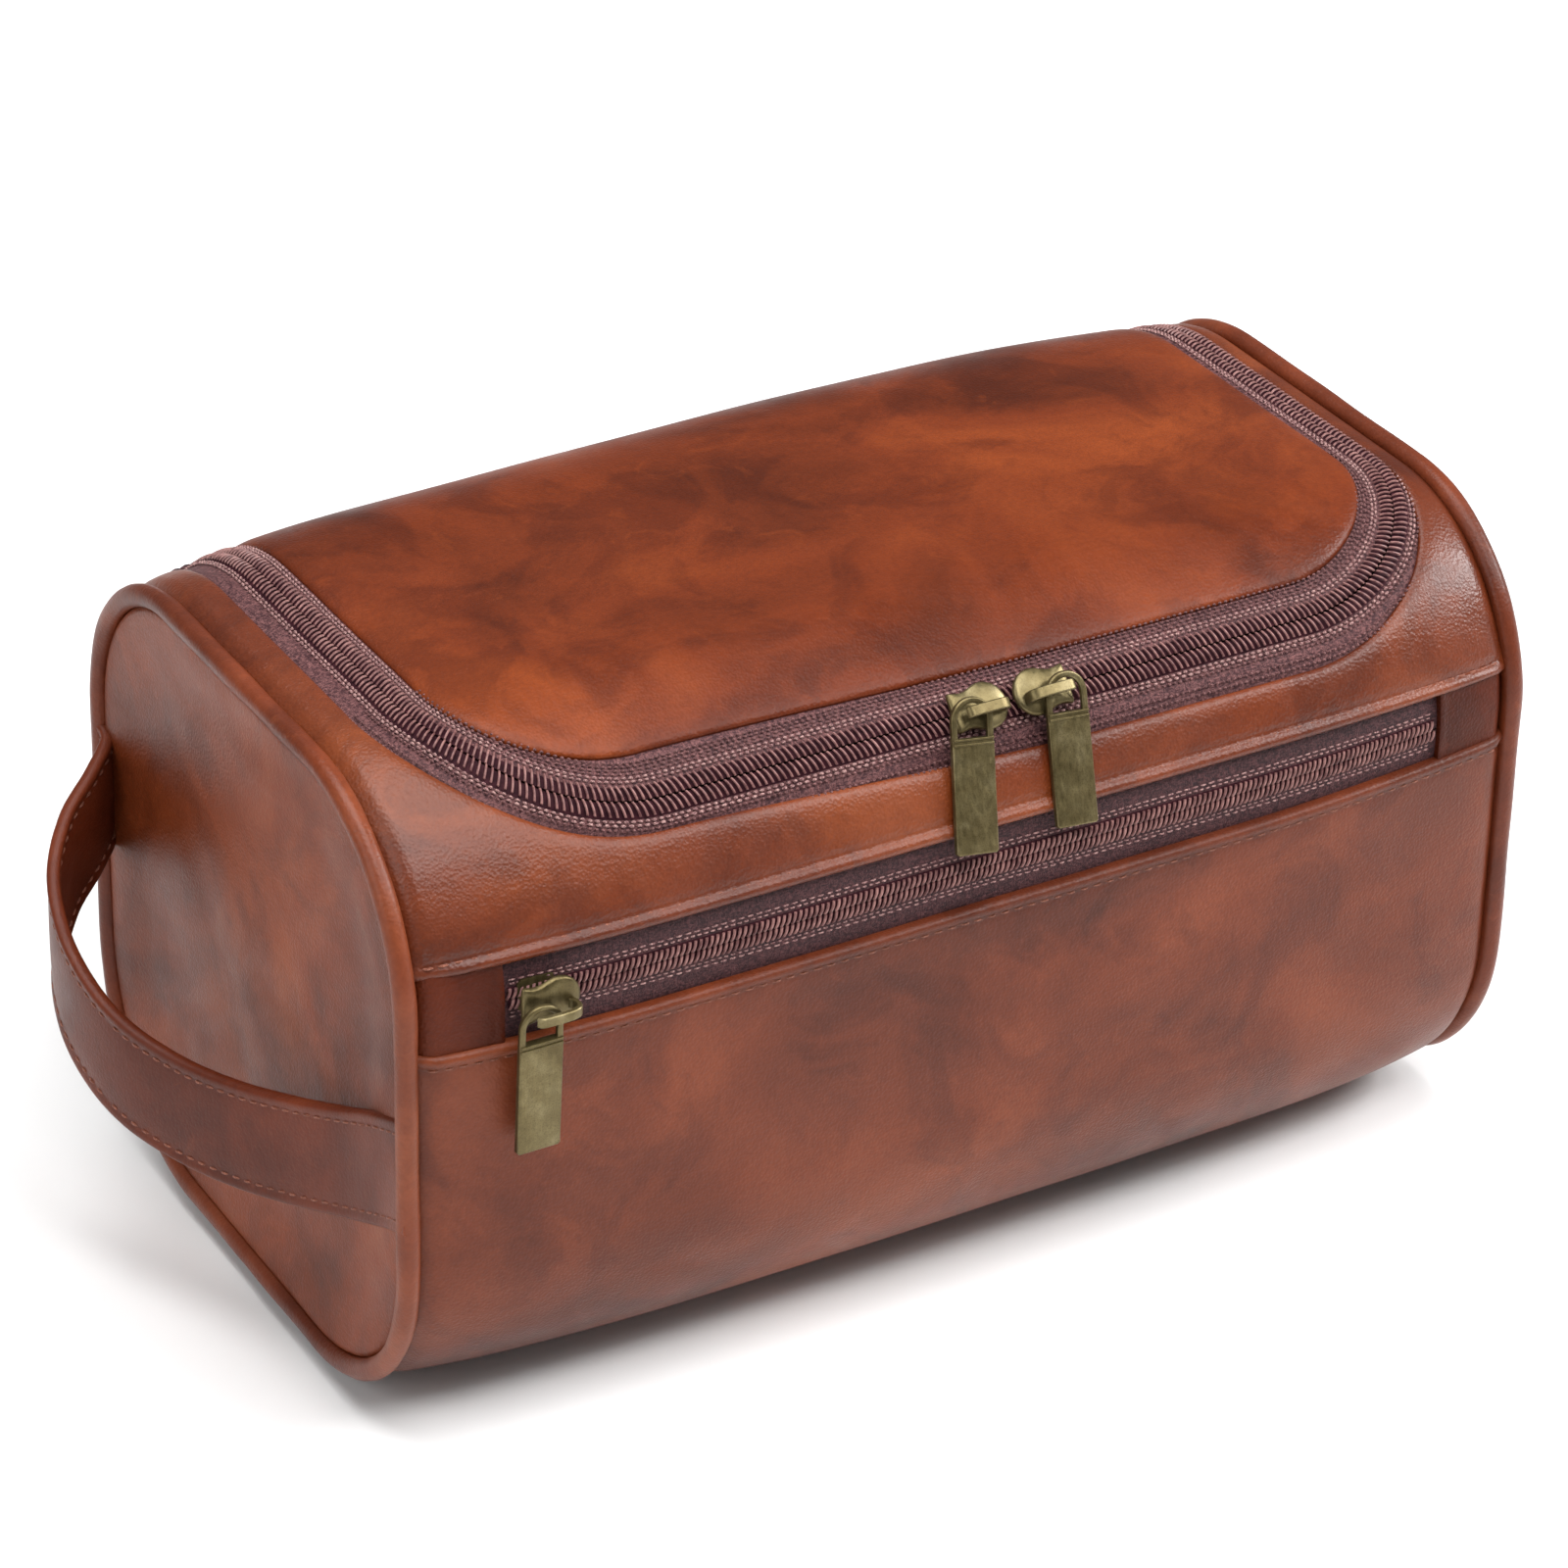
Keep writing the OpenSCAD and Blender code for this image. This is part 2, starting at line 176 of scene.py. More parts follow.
def arc(a, start, r, cz, lower):
    """A quarter turn of the cross-section that starts at distance start."""
    f = (a - start) / r + (math.pi / 2 if lower else 0)
    cy = HALF_D - r
    return cy + r * np.sin(f), cz + r * np.cos(f), np.sin(f), np.cos(f)


def swell(x, v):
    """How far the soft skin stands out from its plain cross-section."""
    a = np.abs(one_turn(v))
    free = 1 - smooth((a - V_BOTTOM - 30) / 30)
    middle = 1 - (x / HALF_L) ** 2
    waves = 0.35 * np.sin(x / 41 + 1.1) * np.sin(v / 27 + 0.4) + 0.22 * np.sin(x / 23 - v / 31 + 2.0)
    waves += 0.12 * np.sin(x / 11 + v / 14) * np.sin(v / 9 - x / 37)
    crown = 0.2 * middle * (1 - smooth((a - 20) / 60))
    belly = 0.9 * middle * smooth((a - V_WALL - 12) / 30)
    return free * (waves * smooth(middle * 2.5) + crown + belly)


def draw_in(x, v):
    """How far the skin is drawn in towards its sewn ends."""
    a = np.abs(one_turn(v))
    reach = END_DRAW - 1.0 * smooth((a - V_BOTTOM) / 60)
    return reach * (np.abs(x) / HALF_L) ** 5 + END_TUCK * smooth((np.abs(x) - HALF_L + 5) / 5)


def settle(points):
    """The filled bag's lean: its left end slants towards the back, its right end is slightly shorter."""
    p = np.array(points, float)
    x, y = p[..., 0], p[..., 1]
    reach = np.clip(np.abs(x) / HALF_L, 0, 1) ** 2
    back = np.clip(0.5 + y / (2 * HALF_D), 0, 1)
    p[..., 0] = x + reach * np.where(x < 0, 0.8 + 3.6 * back, -2.0)
    p[..., 2] -= reach * back * 1.2 * np.clip(p[..., 2] / HEIGHT, 0, 1)
    return p


def place(x, v, depth=0.0):
    """Points in space, in millimetres, for points on the unrolled skin."""
    x, v, depth = np.broadcast_arrays(*(np.asarray(part, float) for part in (x, v, depth)))
    y, z, ny, nz = profile(v)
    off = swell(x, v) - draw_in(x, v) - depth
    return np.stack([x, y + ny * off, z + nz * off], -1)


def skin_frame(x, v, along, depth=0.0):
    """Position, unit tangent towards along (dx, dv) and outward normal at a point of the skin."""
    step = 0.2
    p = place(x, v, depth)
    t = unit(place(x + along[..., 0] * step, v + along[..., 1] * step, depth) - p)
    _, _, ny, nz = profile(v)
    n = np.stack([0 * ny, ny, nz], -1)
    return p, t, unit(n - (n * t).sum(-1, keepdims=True) * t)


# ---------- Mesh helpers ----------


def make(name, verts, faces, material, body=None, slot=None, angle=50, soft=True):
    """A mesh object from millimetre points, smooth except across edges sharper than angle."""
    mesh = bpy.data.meshes.new(name)
    points = np.asarray(verts, float).reshape(-1, 3)
    points = (settle(points) if soft else points) * MM
    mesh.from_pydata([tuple(p) for p in points], [], faces)
    bm = bmesh.new()
    bm.from_mesh(mesh)
    bmesh.ops.remove_doubles(bm, verts=bm.verts, dist=1e-6)
    bmesh.ops.dissolve_degenerate(bm, edges=bm.edges, dist=1e-7)
    bmesh.ops.recalc_face_normals(bm, faces=bm.faces)
    for e in bm.edges:
        if len(e.link_faces) == 2 and e.calc_face_angle(0) > math.radians(angle):
            e.smooth = False
    for f in bm.faces:
        f.smooth = True
    bm.to_mesh(mesh)
    bm.free()
    obj = bpy.data.objects.new(name, mesh)
    bpy.context.scene.collection.objects.link(obj)
    mesh.materials.append(material)
    if body:
        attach(obj, body)
    return obj


def tube_faces(rings, sides, caps=True, closed=False, start=0):
    """Quads between rings of a sweep, with flat caps at its two ends."""
    faces = []
    for i in range(rings if closed else rings - 1):
        this, next_ring = start + i * sides, start + (i + 1) % rings * sides
        for j in range(sides):
            k = (j + 1) % sides
            faces.append((this + j, this + k, next_ring + k, next_ring + j))
    if caps and not closed:
        faces.append(tuple(start + j for j in range(sides)))
        faces.append(tuple(start + (rings - 1) * sides + j for j in reversed(range(sides))))
    return faces


def many_tubes(count, rings, sides):
    """Faces of a number of short tubes, one after the other."""
    return [face for i in range(count) for face in tube_faces(rings, sides, start=i * rings * sides)]


def grid_faces(n, m, start=0):
    """Quads of a grid of n by m points."""
    cells = [start + i * m + j for i in range(n - 1) for j in range(m - 1)]
    return [(c, c + 1, c + m + 1, c + m) for c in cells]


def turns(sides):
    """Evenly spaced angles once round."""
    return np.linspace(0, 2 * np.pi, sides + 1)[:-1]


def sweep(path, out, up, section):
    """Vertices and faces of a section (w along up, d along out) swept along a path."""
    w, d = np.array(section).T
    verts = path[:, None] + up[:, None] * w[None, :, None] + out[:, None] * d[None, :, None]
    return verts, tube_faces(len(path), len(section))


def join(parts):
    """One vertex list and face list from several."""
    verts, faces, n = [], [], 0
    for v, f in parts:
        verts.append(np.asarray(v, float).reshape(-1, 3))
        faces += [tuple(i + n for i in face) for face in f]
        n += len(verts[-1])
    return np.concatenate(verts), faces


# ---------- Materials ----------


class Shader:
    """A Principled material and short ways to add nodes to it."""

    def __init__(self, name):
        self.material = bpy.data.materials.new(name)
        self.material.use_nodes = True
        self.tree = self.material.node_tree
        self.bsdf = self.tree.nodes["Principled BSDF"]
        self.coords = self.tree.nodes.new("ShaderNodeTexCoord").outputs["Object"]

    def set(self, **values):
        for key, value in values.items():
            self.bsdf.inputs[key.replace("_", " ")].default_value = value
        return self

    def node(self, kind, inputs, **props):
        """A new node, whose inputs are given as links, colours or numbers."""
        n = self.tree.nodes.new(kind)
        for key, value in props.items():
            setattr(n, key, value)
        for key, value in inputs.items():
            socket = n.inputs[key]
            if hasattr(value, "links"):
                self.tree.links.new(value, socket)
            else:
                socket.default_value = (*value, 1) if socket.type == "RGBA" else value
        return n

    def mapped(self, **change):
        """Object coordinates with a changed Location or Scale."""
        return self.node("ShaderNodeMapping", {"Vector": self.coords, **change}).outputs[0]

    def noise(self, scale, detail=4.0, rough=0.5, distort=0.0, vector=None):
        inputs = {"Scale": scale, "Detail": detail, "Roughness": rough, "Distortion": distort}
        inputs["Vector"] = vector or self.coords
        return self.node("ShaderNodeTexNoise", inputs).outputs["Fac"]

    def cells(self, scale, vector):
        inputs = {"Scale": scale, "Smoothness": 0.4, "Vector": vector}
        return self.node("ShaderNodeTexVoronoi", inputs, feature="SMOOTH_F1").outputs["Distance"]

    def ramp(self, value, stops):
        n = self.node("ShaderNodeValToRGB", {"Fac": value})
        elements = n.color_ramp.elements
        while len(elements) < len(stops):
            elements.new(0.5)
        for e, (at, colour) in zip(elements, stops):
            e.position = at
            e.color = (*colour, 1)
        return n.outputs["Color"]

    def mix(self, a, b, factor, blend="MULTIPLY"):
        # A colour mix has its factor at 0, its colours at 6 and 7 and its result at 2
        inputs = {0: factor, 6: a, 7: b}
        return self.node("ShaderNodeMix", inputs, data_type="RGBA", blend_type=blend).outputs[2]

    def times(self, a, b):
        return self.node("ShaderNodeMath", {0: a, 1: b}, operation="MULTIPLY").outputs[0]

    def spread(self, value, low, high):
        """Maps 0.3..0.7, where a noise mostly lies, to low..high."""
        inputs = {"Value": value, "From Min": 0.3, "From Max": 0.7, "To Min": low, "To Max": high}
        return self.node("ShaderNodeMapRange", inputs).outputs[0]

    def bumps(self, layers):
        """layers: (height, strength, distance in mm)."""
        under = {}
        for height, strength, distance in layers:
            inputs = {"Strength": strength, "Distance": distance * MM, "Height": height, **under}
            under = {"Normal": self.node("ShaderNodeBump", inputs).outputs[0]}
        self.tree.links.new(under["Normal"], self.bsdf.inputs["Normal"])

    def colour(self, socket):
        self.tree.links.new(socket, self.bsdf.inputs["Base Color"])
        return self

    def rough(self, socket):
        self.tree.links.new(socket, self.bsdf.inputs["Roughness"])
        return self


# Dark, middle and light tone of each leather
TONES = {
    "main": ((0.068, 0.0105, 0.0015), (0.122, 0.02, 0.0036), (0.185, 0.035, 0.0062)),
    "front": ((0.075, 0.0145, 0.0045), (0.125, 0.0245, 0.007), (0.185, 0.041, 0.013)),
    "yoke": ((0.068, 0.0105, 0.0018), (0.118, 0.021, 0.0042), (0.17, 0.036, 0.008)),
    "end": ((0.1, 0.019, 0.005), (0.185, 0.037, 0.01), (0.27, 0.066, 0.022)),
    "tab": ((0.04, 0.006, 0.001), (0.075, 0.011, 0.002), (0.12, 0.021, 0.005)),
    "piping": ((0.085, 0.016, 0.005), (0.14, 0.028, 0.009), (0.22, 0.055, 0.02)),
    "strap": ((0.075, 0.014, 0.005), (0.12, 0.023, 0.008), (0.18, 0.04, 0.014)),
}


def leather(kind, smoky, rough=(0.34, 0.5), grain=1.0, seed=0.0, gloss=0.22):
    """Pull-up leather: cloudy colour, darker smoky patches, pebble grain, pores and faint creases."""
    dark, middle, light = TONES[kind]
    s = Shader("leather_" + kind)
    at = s.mapped(Location=(seed, seed * 0.7, -seed))
    clouds = s.noise(17, 5, 0.55, 0.6, at)
    base = s.ramp(clouds, [(0.33, dark), (0.5, middle), (0.68, light)])
    patches = s.noise(34, 6, 0.6, 1.4, at)
    shade = s.ramp(patches, [(0.40, (0.46, 0.38, 0.33)), (0.52, (1, 1, 1))])
    base = s.mix(base, shade, smoky)
    flecks = s.ramp(s.noise(900, 3, 0.6, 0, at), [(0.35, (0.82, 0.8, 0.8)), (0.62, (1.08, 1.08, 1.1))])
    base = s.mix(base, flecks, 0.5)
    worn = s.ramp(s.noise(75, 8, 0.7, 2.0, at), [(0.58, (0, 0, 0)), (0.72, (1, 1, 1))])
    base = s.mix(base, light, s.times(worn, 0.35), "MIX")
    s.colour(base).rough(s.spread(s.noise(48, 6, 0.6, 0.8, at), *rough))
    grains = s.cells(1500, at)
    creases = s.noise(150, 7, 0.65, 2.5, s.mapped(Scale=(1.0, 2.6, 0.9)))
    pores = s.noise(2400, 2, 0.5, 0, at)
    s.bumps([(creases, 0.2, 0.55), (grains, 0.55 * grain, 0.17), (pores, 0.25, 0.1)])
    s.set(Specular_IOR_Level=gloss, Coat_Weight=gloss * 0.25, Coat_Roughness=0.28)
    return s.material


def woven(name, dark, light, thread=1.0, rough=0.62):
    """Zip tape, thread or lining: a fine crepe of short crossing ridges with a soft sheen."""
    s = Shader(name)
    fine = s.noise(2300 * thread, 3, 0.6, 0.4, s.mapped(Scale=(0.45, 1, 1)))
    ridges = s.noise(1700 * thread, 4, 0.65, 1.2, s.mapped(Scale=(1, 0.35, 0.5)))
    weave = s.times(fine, ridges)
    between = tuple((a + b) / 2 for a, b in zip(dark, light))
    colour = s.ramp(weave, [(0.18, dark), (0.27, between), (0.36, light)])
    cloud = s.ramp(s.noise(60, 4, 0.6), [(0.35, (0.9, 0.9, 0.9)), (0.65, (1.06, 1.05, 1.05))])
    colour = s.mix(colour, cloud, 0.8)
    s.colour(colour).set(Roughness=rough, Specular_IOR_Level=0.25, Sheen_Weight=0.1, Sheen_Roughness=0.4)
    s.bsdf.inputs["Sheen Tint"].default_value = (0.75, 0.55, 0.55, 1)
    s.bumps([(weave, 1.0, 0.45)])
    return s.material


def plastic(name, dark, light, rough=0.3, gloss=0.3):
    """Zip coil nylon, slightly uneven, between a dark and a light colour: the coil's near-black base is
    painted shade between the teeth, and the lighter teeth are partly painted highlight.
    """
    s = Shader(name)
    n = s.noise(500, 4, 0.6)
    s.colour(s.ramp(n, [(0.35, dark), (0.7, light)]))
    s.rough(s.spread(s.noise(1500, 3), rough - 0.05, rough + 0.12))
    s.bumps([(n, 0.2, 0.08)])
    s.set(Specular_IOR_Level=gloss, Coat_Weight=gloss * 0.1, Coat_Roughness=0.25)
    return s.material


def brass(name):
    """Antique brass: lightly brushed along its length, with dark specks and a few brighter worn places."""
    s = Shader(name)
    tarnish = s.noise(120, 5, 0.6, 0.3)
    brush = s.noise(1100, 4, 0.6, 0, s.mapped(Scale=(1.0, 1.0, 0.06)))
    speck = s.noise(3200, 3, 0.6)
    tones = [(0.32, (0.086, 0.063, 0.024)), (0.52, (0.138, 0.108, 0.048)), (0.72, (0.22, 0.18, 0.095))]
    brushed = s.ramp(brush, [(0.35, (0.75, 0.75, 0.72)), (0.65, (1.12, 1.12, 1.1))])
    specks = s.ramp(speck, [(0.34, (0.5, 0.48, 0.42)), (0.5, (1, 1, 1))])
    colour = s.mix(s.mix(s.ramp(tarnish, tones), brushed, 0.55), specks, 0.55)
    s.colour(colour).rough(s.spread(brush, 0.3, 0.46)).set(Metallic=0.8)
    s.bumps([(brush, 0.18, 0.03), (speck, 0.2, 0.03)])
    return s.material


MAT = {
    "leather": leather("main", 0.5, gloss=0.17),
    "front": leather("front", 0.45, seed=0.31),
    "yoke": leather("yoke", 0.45, (0.3, 0.42), gloss=0.33),
    "end": leather("end", 0.4, seed=0.77, gloss=0.17),
    "tab": leather("tab", 0.4, (0.42, 0.6), 1.5, 0.5, 0.14),
    "piping": leather("piping", 0.3, (0.3, 0.46), 0.6, 0.9),
    "strap": leather("strap", 0.35, (0.32, 0.46), 0.5, 1.3, 0.17),
    "tape": woven("zip_tape_weave", (0.035, 0.009, 0.012), (0.175, 0.072, 0.07)),
    "tape_dark": woven("pocket_tape_weave", (0.018, 0.005, 0.007), (0.085, 0.03, 0.032)),
    # The coil's base strip is near-black: painted shade for the gaps between the teeth
    "coil": plastic("zip_coil_painted_shade", (0.02, 0.005, 0.008), (0.045, 0.012, 0.017), 0.6, 0.06),
    # Teeth are lighter than the coil's own dark nylon: partly their colour, partly painted highlight
    "rib": plastic("zip_tooth_nylon_painted_highlight", (0.1, 0.037, 0.036), (0.3, 0.15, 0.135), 0.42),
    "thread": woven("stitch_thread", (0.14, 0.04, 0.02), (0.33, 0.13, 0.085), 1.6, 0.5),
    # Thread and woven ridges on the zip tapes are far lighter than the tape: partly the thread's colour,
    # partly painted highlight for the glints along their rows
    "thread_tape_painted_highlight": woven("tape_thread_painted_highlight", (0.13, 0.05, 0.055), (0.55, 0.34, 0.31), 1.6, 0.42),
    "thread_dim_painted_highlight": woven("tape_ridge_painted_highlight", (0.06, 0.021, 0.022), (0.25, 0.115, 0.11), 1.6, 0.5),
    "brass": brass("antique_brass"),
    "lining": woven("lining_cloth", (0.022, 0.017, 0.016), (0.088, 0.07, 0.062), 0.6, 0.8),
    "board": woven("board_cloth", (0.02, 0.015, 0.014), (0.075, 0.058, 0.05), 0.5, 0.8),
}


# ---------- Leather skins on the bag ----------

# Distance in from a cut edge, and the depth of the surface there for four kinds of edge
EDGE_MM = np.array([0.0, 0.0, 0.15, 0.6, 1.2, 1.9, 2.6, 3.2, 3.9, 5.0])
PLAIN = np.array([LEATHER, 0.9, 0.5, 0.2, 0.07, 0.0, 0.0, 0.0, 0.0, 0.0])
BEAD = np.array([LEATHER, 0.5, -0.2, -0.75, -0.95, -0.8, -0.25, 0.22, 0.1, 0.0])
FLAT = np.array([LEATHER] + [0.0] * 9)
ROUND = np.array([LEATHER, 1.0, 0.7, 0.38, 0.21, 0.11, 0.05, 0.02, 0.0, 0.0])

# Points of the zip's outline along a side and the front, and their angles round a corner
N_SIDE = 70
N_FRONT = 110
CORNER_TURN = np.radians(np.linspace(0, 90, 26)[1:-1])
CORNER_FADE = 45


def zip_curve(side, front, back, shift=ZIP_SHIFT):
    """The zip's outline moved out by side and front: from the back left, round the front, to the back right.
    shift is how far it lies to the right of the bag's middle."""
    ax, av = CORNER_X + side, CORNER_V + front
    left = np.stack([np.full(N_SIDE, -CORNER_CX - ax), np.linspace(back, CORNER_CV, N_SIDE)], 1)
    corner = np.stack([-CORNER_CX - ax * np.cos(CORNER_TURN), CORNER_CV - av * np.sin(CORNER_TURN)], 1)
    x = np.linspace(-CORNER_CX, CORNER_CX, N_FRONT)
    front_run = np.stack([x, np.full(N_FRONT, CORNER_CV - av)], 1)
    half = np.concatenate([left, corner])
    return np.concatenate([half, front_run, half[::-1] * [-1, 1]]) + [shift, 0]


def forward(v):
    """0 along the sides of the zip's outline and 1 on its front run."""
    return smooth((CORNER_CV - v) / CORNER_FADE)


def on_right(amount, x, v):
    """A shift of the right end of the zip's outline, which fades out round the corner."""
    return amount * smooth((x - 60) / CORNER_FADE) * (1 - forward(v))


def coil_curve(off, back):
    """A line along the coil, off millimetres outside its middle."""
    x, v = zip_curve(off, off, back, COIL_SHIFT).T
    return np.stack([x - on_right(COIL_IN, x, v), v], 1)


def cut_edge(side, front, left_back, right_out, back, beyond=0.0):
    """A leather edge beside the zip, which isn't quite parallel to it, or the line lying beyond it."""
    x, v = zip_curve(side + beyond, front + beyond, back).T
    at_left = 1 - smooth((x + 80) / 110)
    return np.stack([x + on_right(right_out, x, v), v + left_back * forward(v) * at_left], 1)


def frame_curve(half_x, v_front, back):
    """The sewn outline round the zip, point for point with zip_curve: two ends and the front seam. Also which
    points lie on that seam, and how much longer than square each crossing is."""
    halves = []
    for side in (-1, 1):
        dx, dv = half_x - CORNER_CX - side * ZIP_SHIFT, CORNER_CV - v_front
        f = CORNER_TURN.copy()
        # The crossing nearest the corner is turned to meet it
        f[np.argmin(np.abs(f - math.atan2(dv, dx)))] = math.atan2(dv, dx)
        on_end = np.tan(f) < dv / dx - 1e-9
        slant = np.where(on_end, 1 / np.cos(f), 1 / np.sin(f))
        reach = np.where(on_end, dx / np.cos(f), dv / np.sin(f))
        x = ZIP_SHIFT + side * (CORNER_CX + reach * np.cos(f))
        corner = np.stack([x, CORNER_CV - reach * np.sin(f)], 1)
        run = np.stack([np.full(N_SIDE, side * half_x), np.linspace(back, CORNER_CV, N_SIDE)], 1)
        flags, slants = np.append(np.zeros(N_SIDE), ~on_end), np.append(np.ones(N_SIDE), slant)
        halves.append((np.concatenate([run, corner]), flags, slants))
    middle = np.linspace(-CORNER_CX, CORNER_CX, N_FRONT) + ZIP_SHIFT
    front_run = (np.stack([middle, np.full(N_FRONT, v_front)], 1), np.ones(N_FRONT), np.ones(N_FRONT))
    left, right = halves
    return tuple(np.concatenate([a, b, c[::-1]]) for a, b, c in zip(left, front_run, right))


def closed_strip(rows, depths):
    """Points and faces of a strip laid on the bag, from its lines in order once round its section."""
    rows = np.stack(rows, 1)
    return place(rows[..., 0], rows[..., 1], depths), tube_faces(*rows.shape[:2])


def band(a, b, edge_a, edge_b, inner=14, thick=LEATHER, slant_b=None, base=0.0, level=0.0, ripple=0.0):
    """A strip of leather or lining between the outlines a and b, with shaped edges and a closed underside.
    edge_a and edge_b are depths at EDGE_MM, one row for all or one for each point. Between them the surface
    lies at level, with ripples, its underside lies at thick, and base is added to all."""
    n = len(a)
    gap = b - a
    length = np.linalg.norm(gap, axis=1, keepdims=True)
    u = gap / np.maximum(length, 1e-6)
    slant = np.ones((n, 1)) if slant_b is None else slant_b[:, None]
    fit = np.minimum(1, length / (EDGE_MM[-1] * (1 + slant) + 0.5))
    rows = [a + u * mm * fit for mm in EDGE_MM]
    depths = list(np.broadcast_to(edge_a, (n, len(EDGE_MM))).T)
    start, stop = rows[-1], b - u * EDGE_MM[-1] * fit * slant
    for f in np.linspace(0, 1, inner + 2)[1:-1]:
        rows.append(start + (stop - start) * f)
        depths.append(np.full(n, level + ripple * math.sin(f * inner * 1.3)))
    rows += [b - u * mm * fit * slant for mm in reversed(EDGE_MM)]
    depths += list(np.broadcast_to(edge_b, (n, len(EDGE_MM))).T[::-1])
    under = max(3, int(length.max() / 7))
    for f in np.linspace(1, 0, under)[1:-1]:
        rows.append(a + gap * f)
        depths.append(np.full(n, thick))
    return closed_strip(rows, np.stack(depths, 1) + base)


def line(p, q, n):
    """n points of the unrolled surface from p to q."""
    return np.linspace(np.array(p, float), np.array(q, float), n)


def across(half, v, n, v_right=None):
    """n points from the left end to the right end of the bag, at v or from v to v_right."""
    return line((-half, v), (half, v if v_right is None else v_right), n)


def fill(edge, back, thick, base=0.0, shape=ROUND):
    """A panel inside the zip's outline: a band round its edge and a grid in the middle, both closed below."""
    a = cut_edge(*edge, back)
    b = zip_curve(-CORNER_X + 1e-3, -CORNER_V + 1e-3, back)
    n = len(a)
    gap = b - a
    u = gap / np.linalg.norm(gap, axis=1, keepdims=True)
    rows = [a + u * mm for mm in EDGE_MM]
    start = rows[-1]
    rows += [start + (b - start) * f for f in np.linspace(0, 1, 9)[1:]]
    depths = np.append(shape, np.zeros(len(rows) - len(shape))) + base
    top = np.stack(rows, 1)
    m = len(rows)
    upper = place(top[..., 0], top[..., 1], depths).reshape(-1, 3)
    lower = np.stack([place(*outline.T, thick + base) for outline in (a, b)], 1).reshape(-1, 3)
    faces = grid_faces(n, m)
    faces += [(c, c + 2, c + 3, c + 1) for c in range(n * m, n * m + 2 * n - 2, 2)]
    parts = [(np.concatenate([upper, lower]), faces)]
    xs = np.unique(np.round(b[:, 0][b[:, 1] < CORNER_CV + 0.01], 3))
    vs = np.unique(np.round(b[:, 1][np.abs(b[:, 0] - ZIP_SHIFT + CORNER_CX) < 0.01], 3))
    gx, gv = np.meshgrid(xs, vs, indexing="ij")
    for depth in (base, thick + base):
        parts.append((place(gx, gv, depth), grid_faces(len(xs), len(vs))))
    return join(parts)


def lid_leather():
    """Leather of the lid, which runs on over the fold behind it."""
    verts, faces = fill(BARE_LID, V_FOLD_BODY + 3, LEATHER)
    obj = make("lid_leather", verts, faces, MAT["leather"], slot="leather")
    hinge = [place(0, v, 0).ravel() * MM for v in (V_FOLD_BODY, V_FOLD_LID)]
    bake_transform(obj)
    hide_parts("lid_panel", "lid_padding")
    return obj


def yoke():
    """Leather above the pocket, round the lid and over the two shoulders."""
    a = cut_edge(*BARE_BODY, V_FOLD_BODY)
    b, on_front, slant = frame_curve(HALF_L, V_UPPER, V_FOLD_BODY)
    edge_b = PLAIN + (BEAD - PLAIN) * on_front[:, None]
    front = band(a, b, ROUND, edge_b, 16, slant_b=slant)
    back = band(across(HALF_L, V_FOLD_BODY, 90), across(HALF_L, V_BACK_SEAM, 90), FLAT, BEAD, 10)
    obj = make("yoke_leather", *join([front, back]), MAT["yoke"], "bag", "leather")
    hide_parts("top_yoke")
    return obj


def wrap():
    """Leather of the front, bottom and back."""
    n = 130
    a = across(HALF_L, V_LOWER_LEFT, n, V_LOWER)
    b = across(HALF_L, V_BACK_SEAM - 2 * V_HALF + 0.4, n)
    obj = make("wrap_leather", *band(a, b, BEAD, PLAIN, 90), MAT["front"], "bag", "leather")
    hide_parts("wrap_panel", "body_padding")
    return obj


def tab(name, node, x0, x1, free):
    """Leather tab over an end of the pocket zip. Its free side, -1 or 1, has a turned edge."""
    a, b = (line((x, V_UPPER + 1.5), (x, V_LOWER_LEFT - 1.5), 24) for x in (x0, x1))
    turned = np.array([LEATHER, 0.4, 0.0, -0.15, -0.1, 0.0, 0.05, 0.0, 0.0, 0.0])
    edges = (PLAIN, turned) if free > 0 else (turned, PLAIN)
    obj = make(name, *band(a, b, *edges, 6, base=0.35), MAT["tab"], "bag", "leather_dark")
    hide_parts(node)
    return obj


def end_panel(name, side, *nodes):
    """Padded end panel inside the piping, with soft waves."""
    v = np.linspace(-V_HALF, V_HALF, 181)[:-1]
    y, z, ny, nz = profile(v)
    inset = END_DRAW + 1.6 - 1.0 * smooth((np.abs(v) - V_BOTTOM) / 60)
    ey, ez = y - ny * inset, z - nz * inset
    middle = HEIGHT / 2
    rings = 44
    r = 1 - np.linspace(0, 1, rings) ** 1.7
    yy, zz = np.outer(r, ey), middle + np.outer(r, ez - middle)
    rr = np.repeat(r[:, None], len(v), 1)
    # Rough distance in from the rim: the leather dips beside the piping and then fills out
    rim = (1 - rr) * 75
    hollow = -2.6 * (1 - smooth(rim / 3.2)) + 1.5 * smooth(rim / 3.0) * (1 - smooth((rim - 6) / 16))
    waves = 0.5 * np.sin(yy / 17 + zz / 29 + 0.6) * np.sin(zz / 23 - 0.4) * (1 - rr**4)
    waves -= 0.5 * np.exp(-(((yy - 0.55 * (zz - 60) - 12) / 9) ** 2)) * (1 - rr**3)
    x = side * (HALF_L + 0.1 + hollow + waves)
    outer = np.stack([x, yy, zz], -1)
    inner = np.stack([np.full_like(yy[0], side * (HALF_L - LEATHER - 2.0)), yy[0], zz[0]], -1)[None]
    verts = np.concatenate([inner, outer])
    faces = tube_faces(rings + 1, len(v), caps=False)
    faces.append(tuple(range(len(v))))
    obj = make(name, verts, faces, MAT["end"], "bag", "leather")
    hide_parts(*nodes)
    return obj


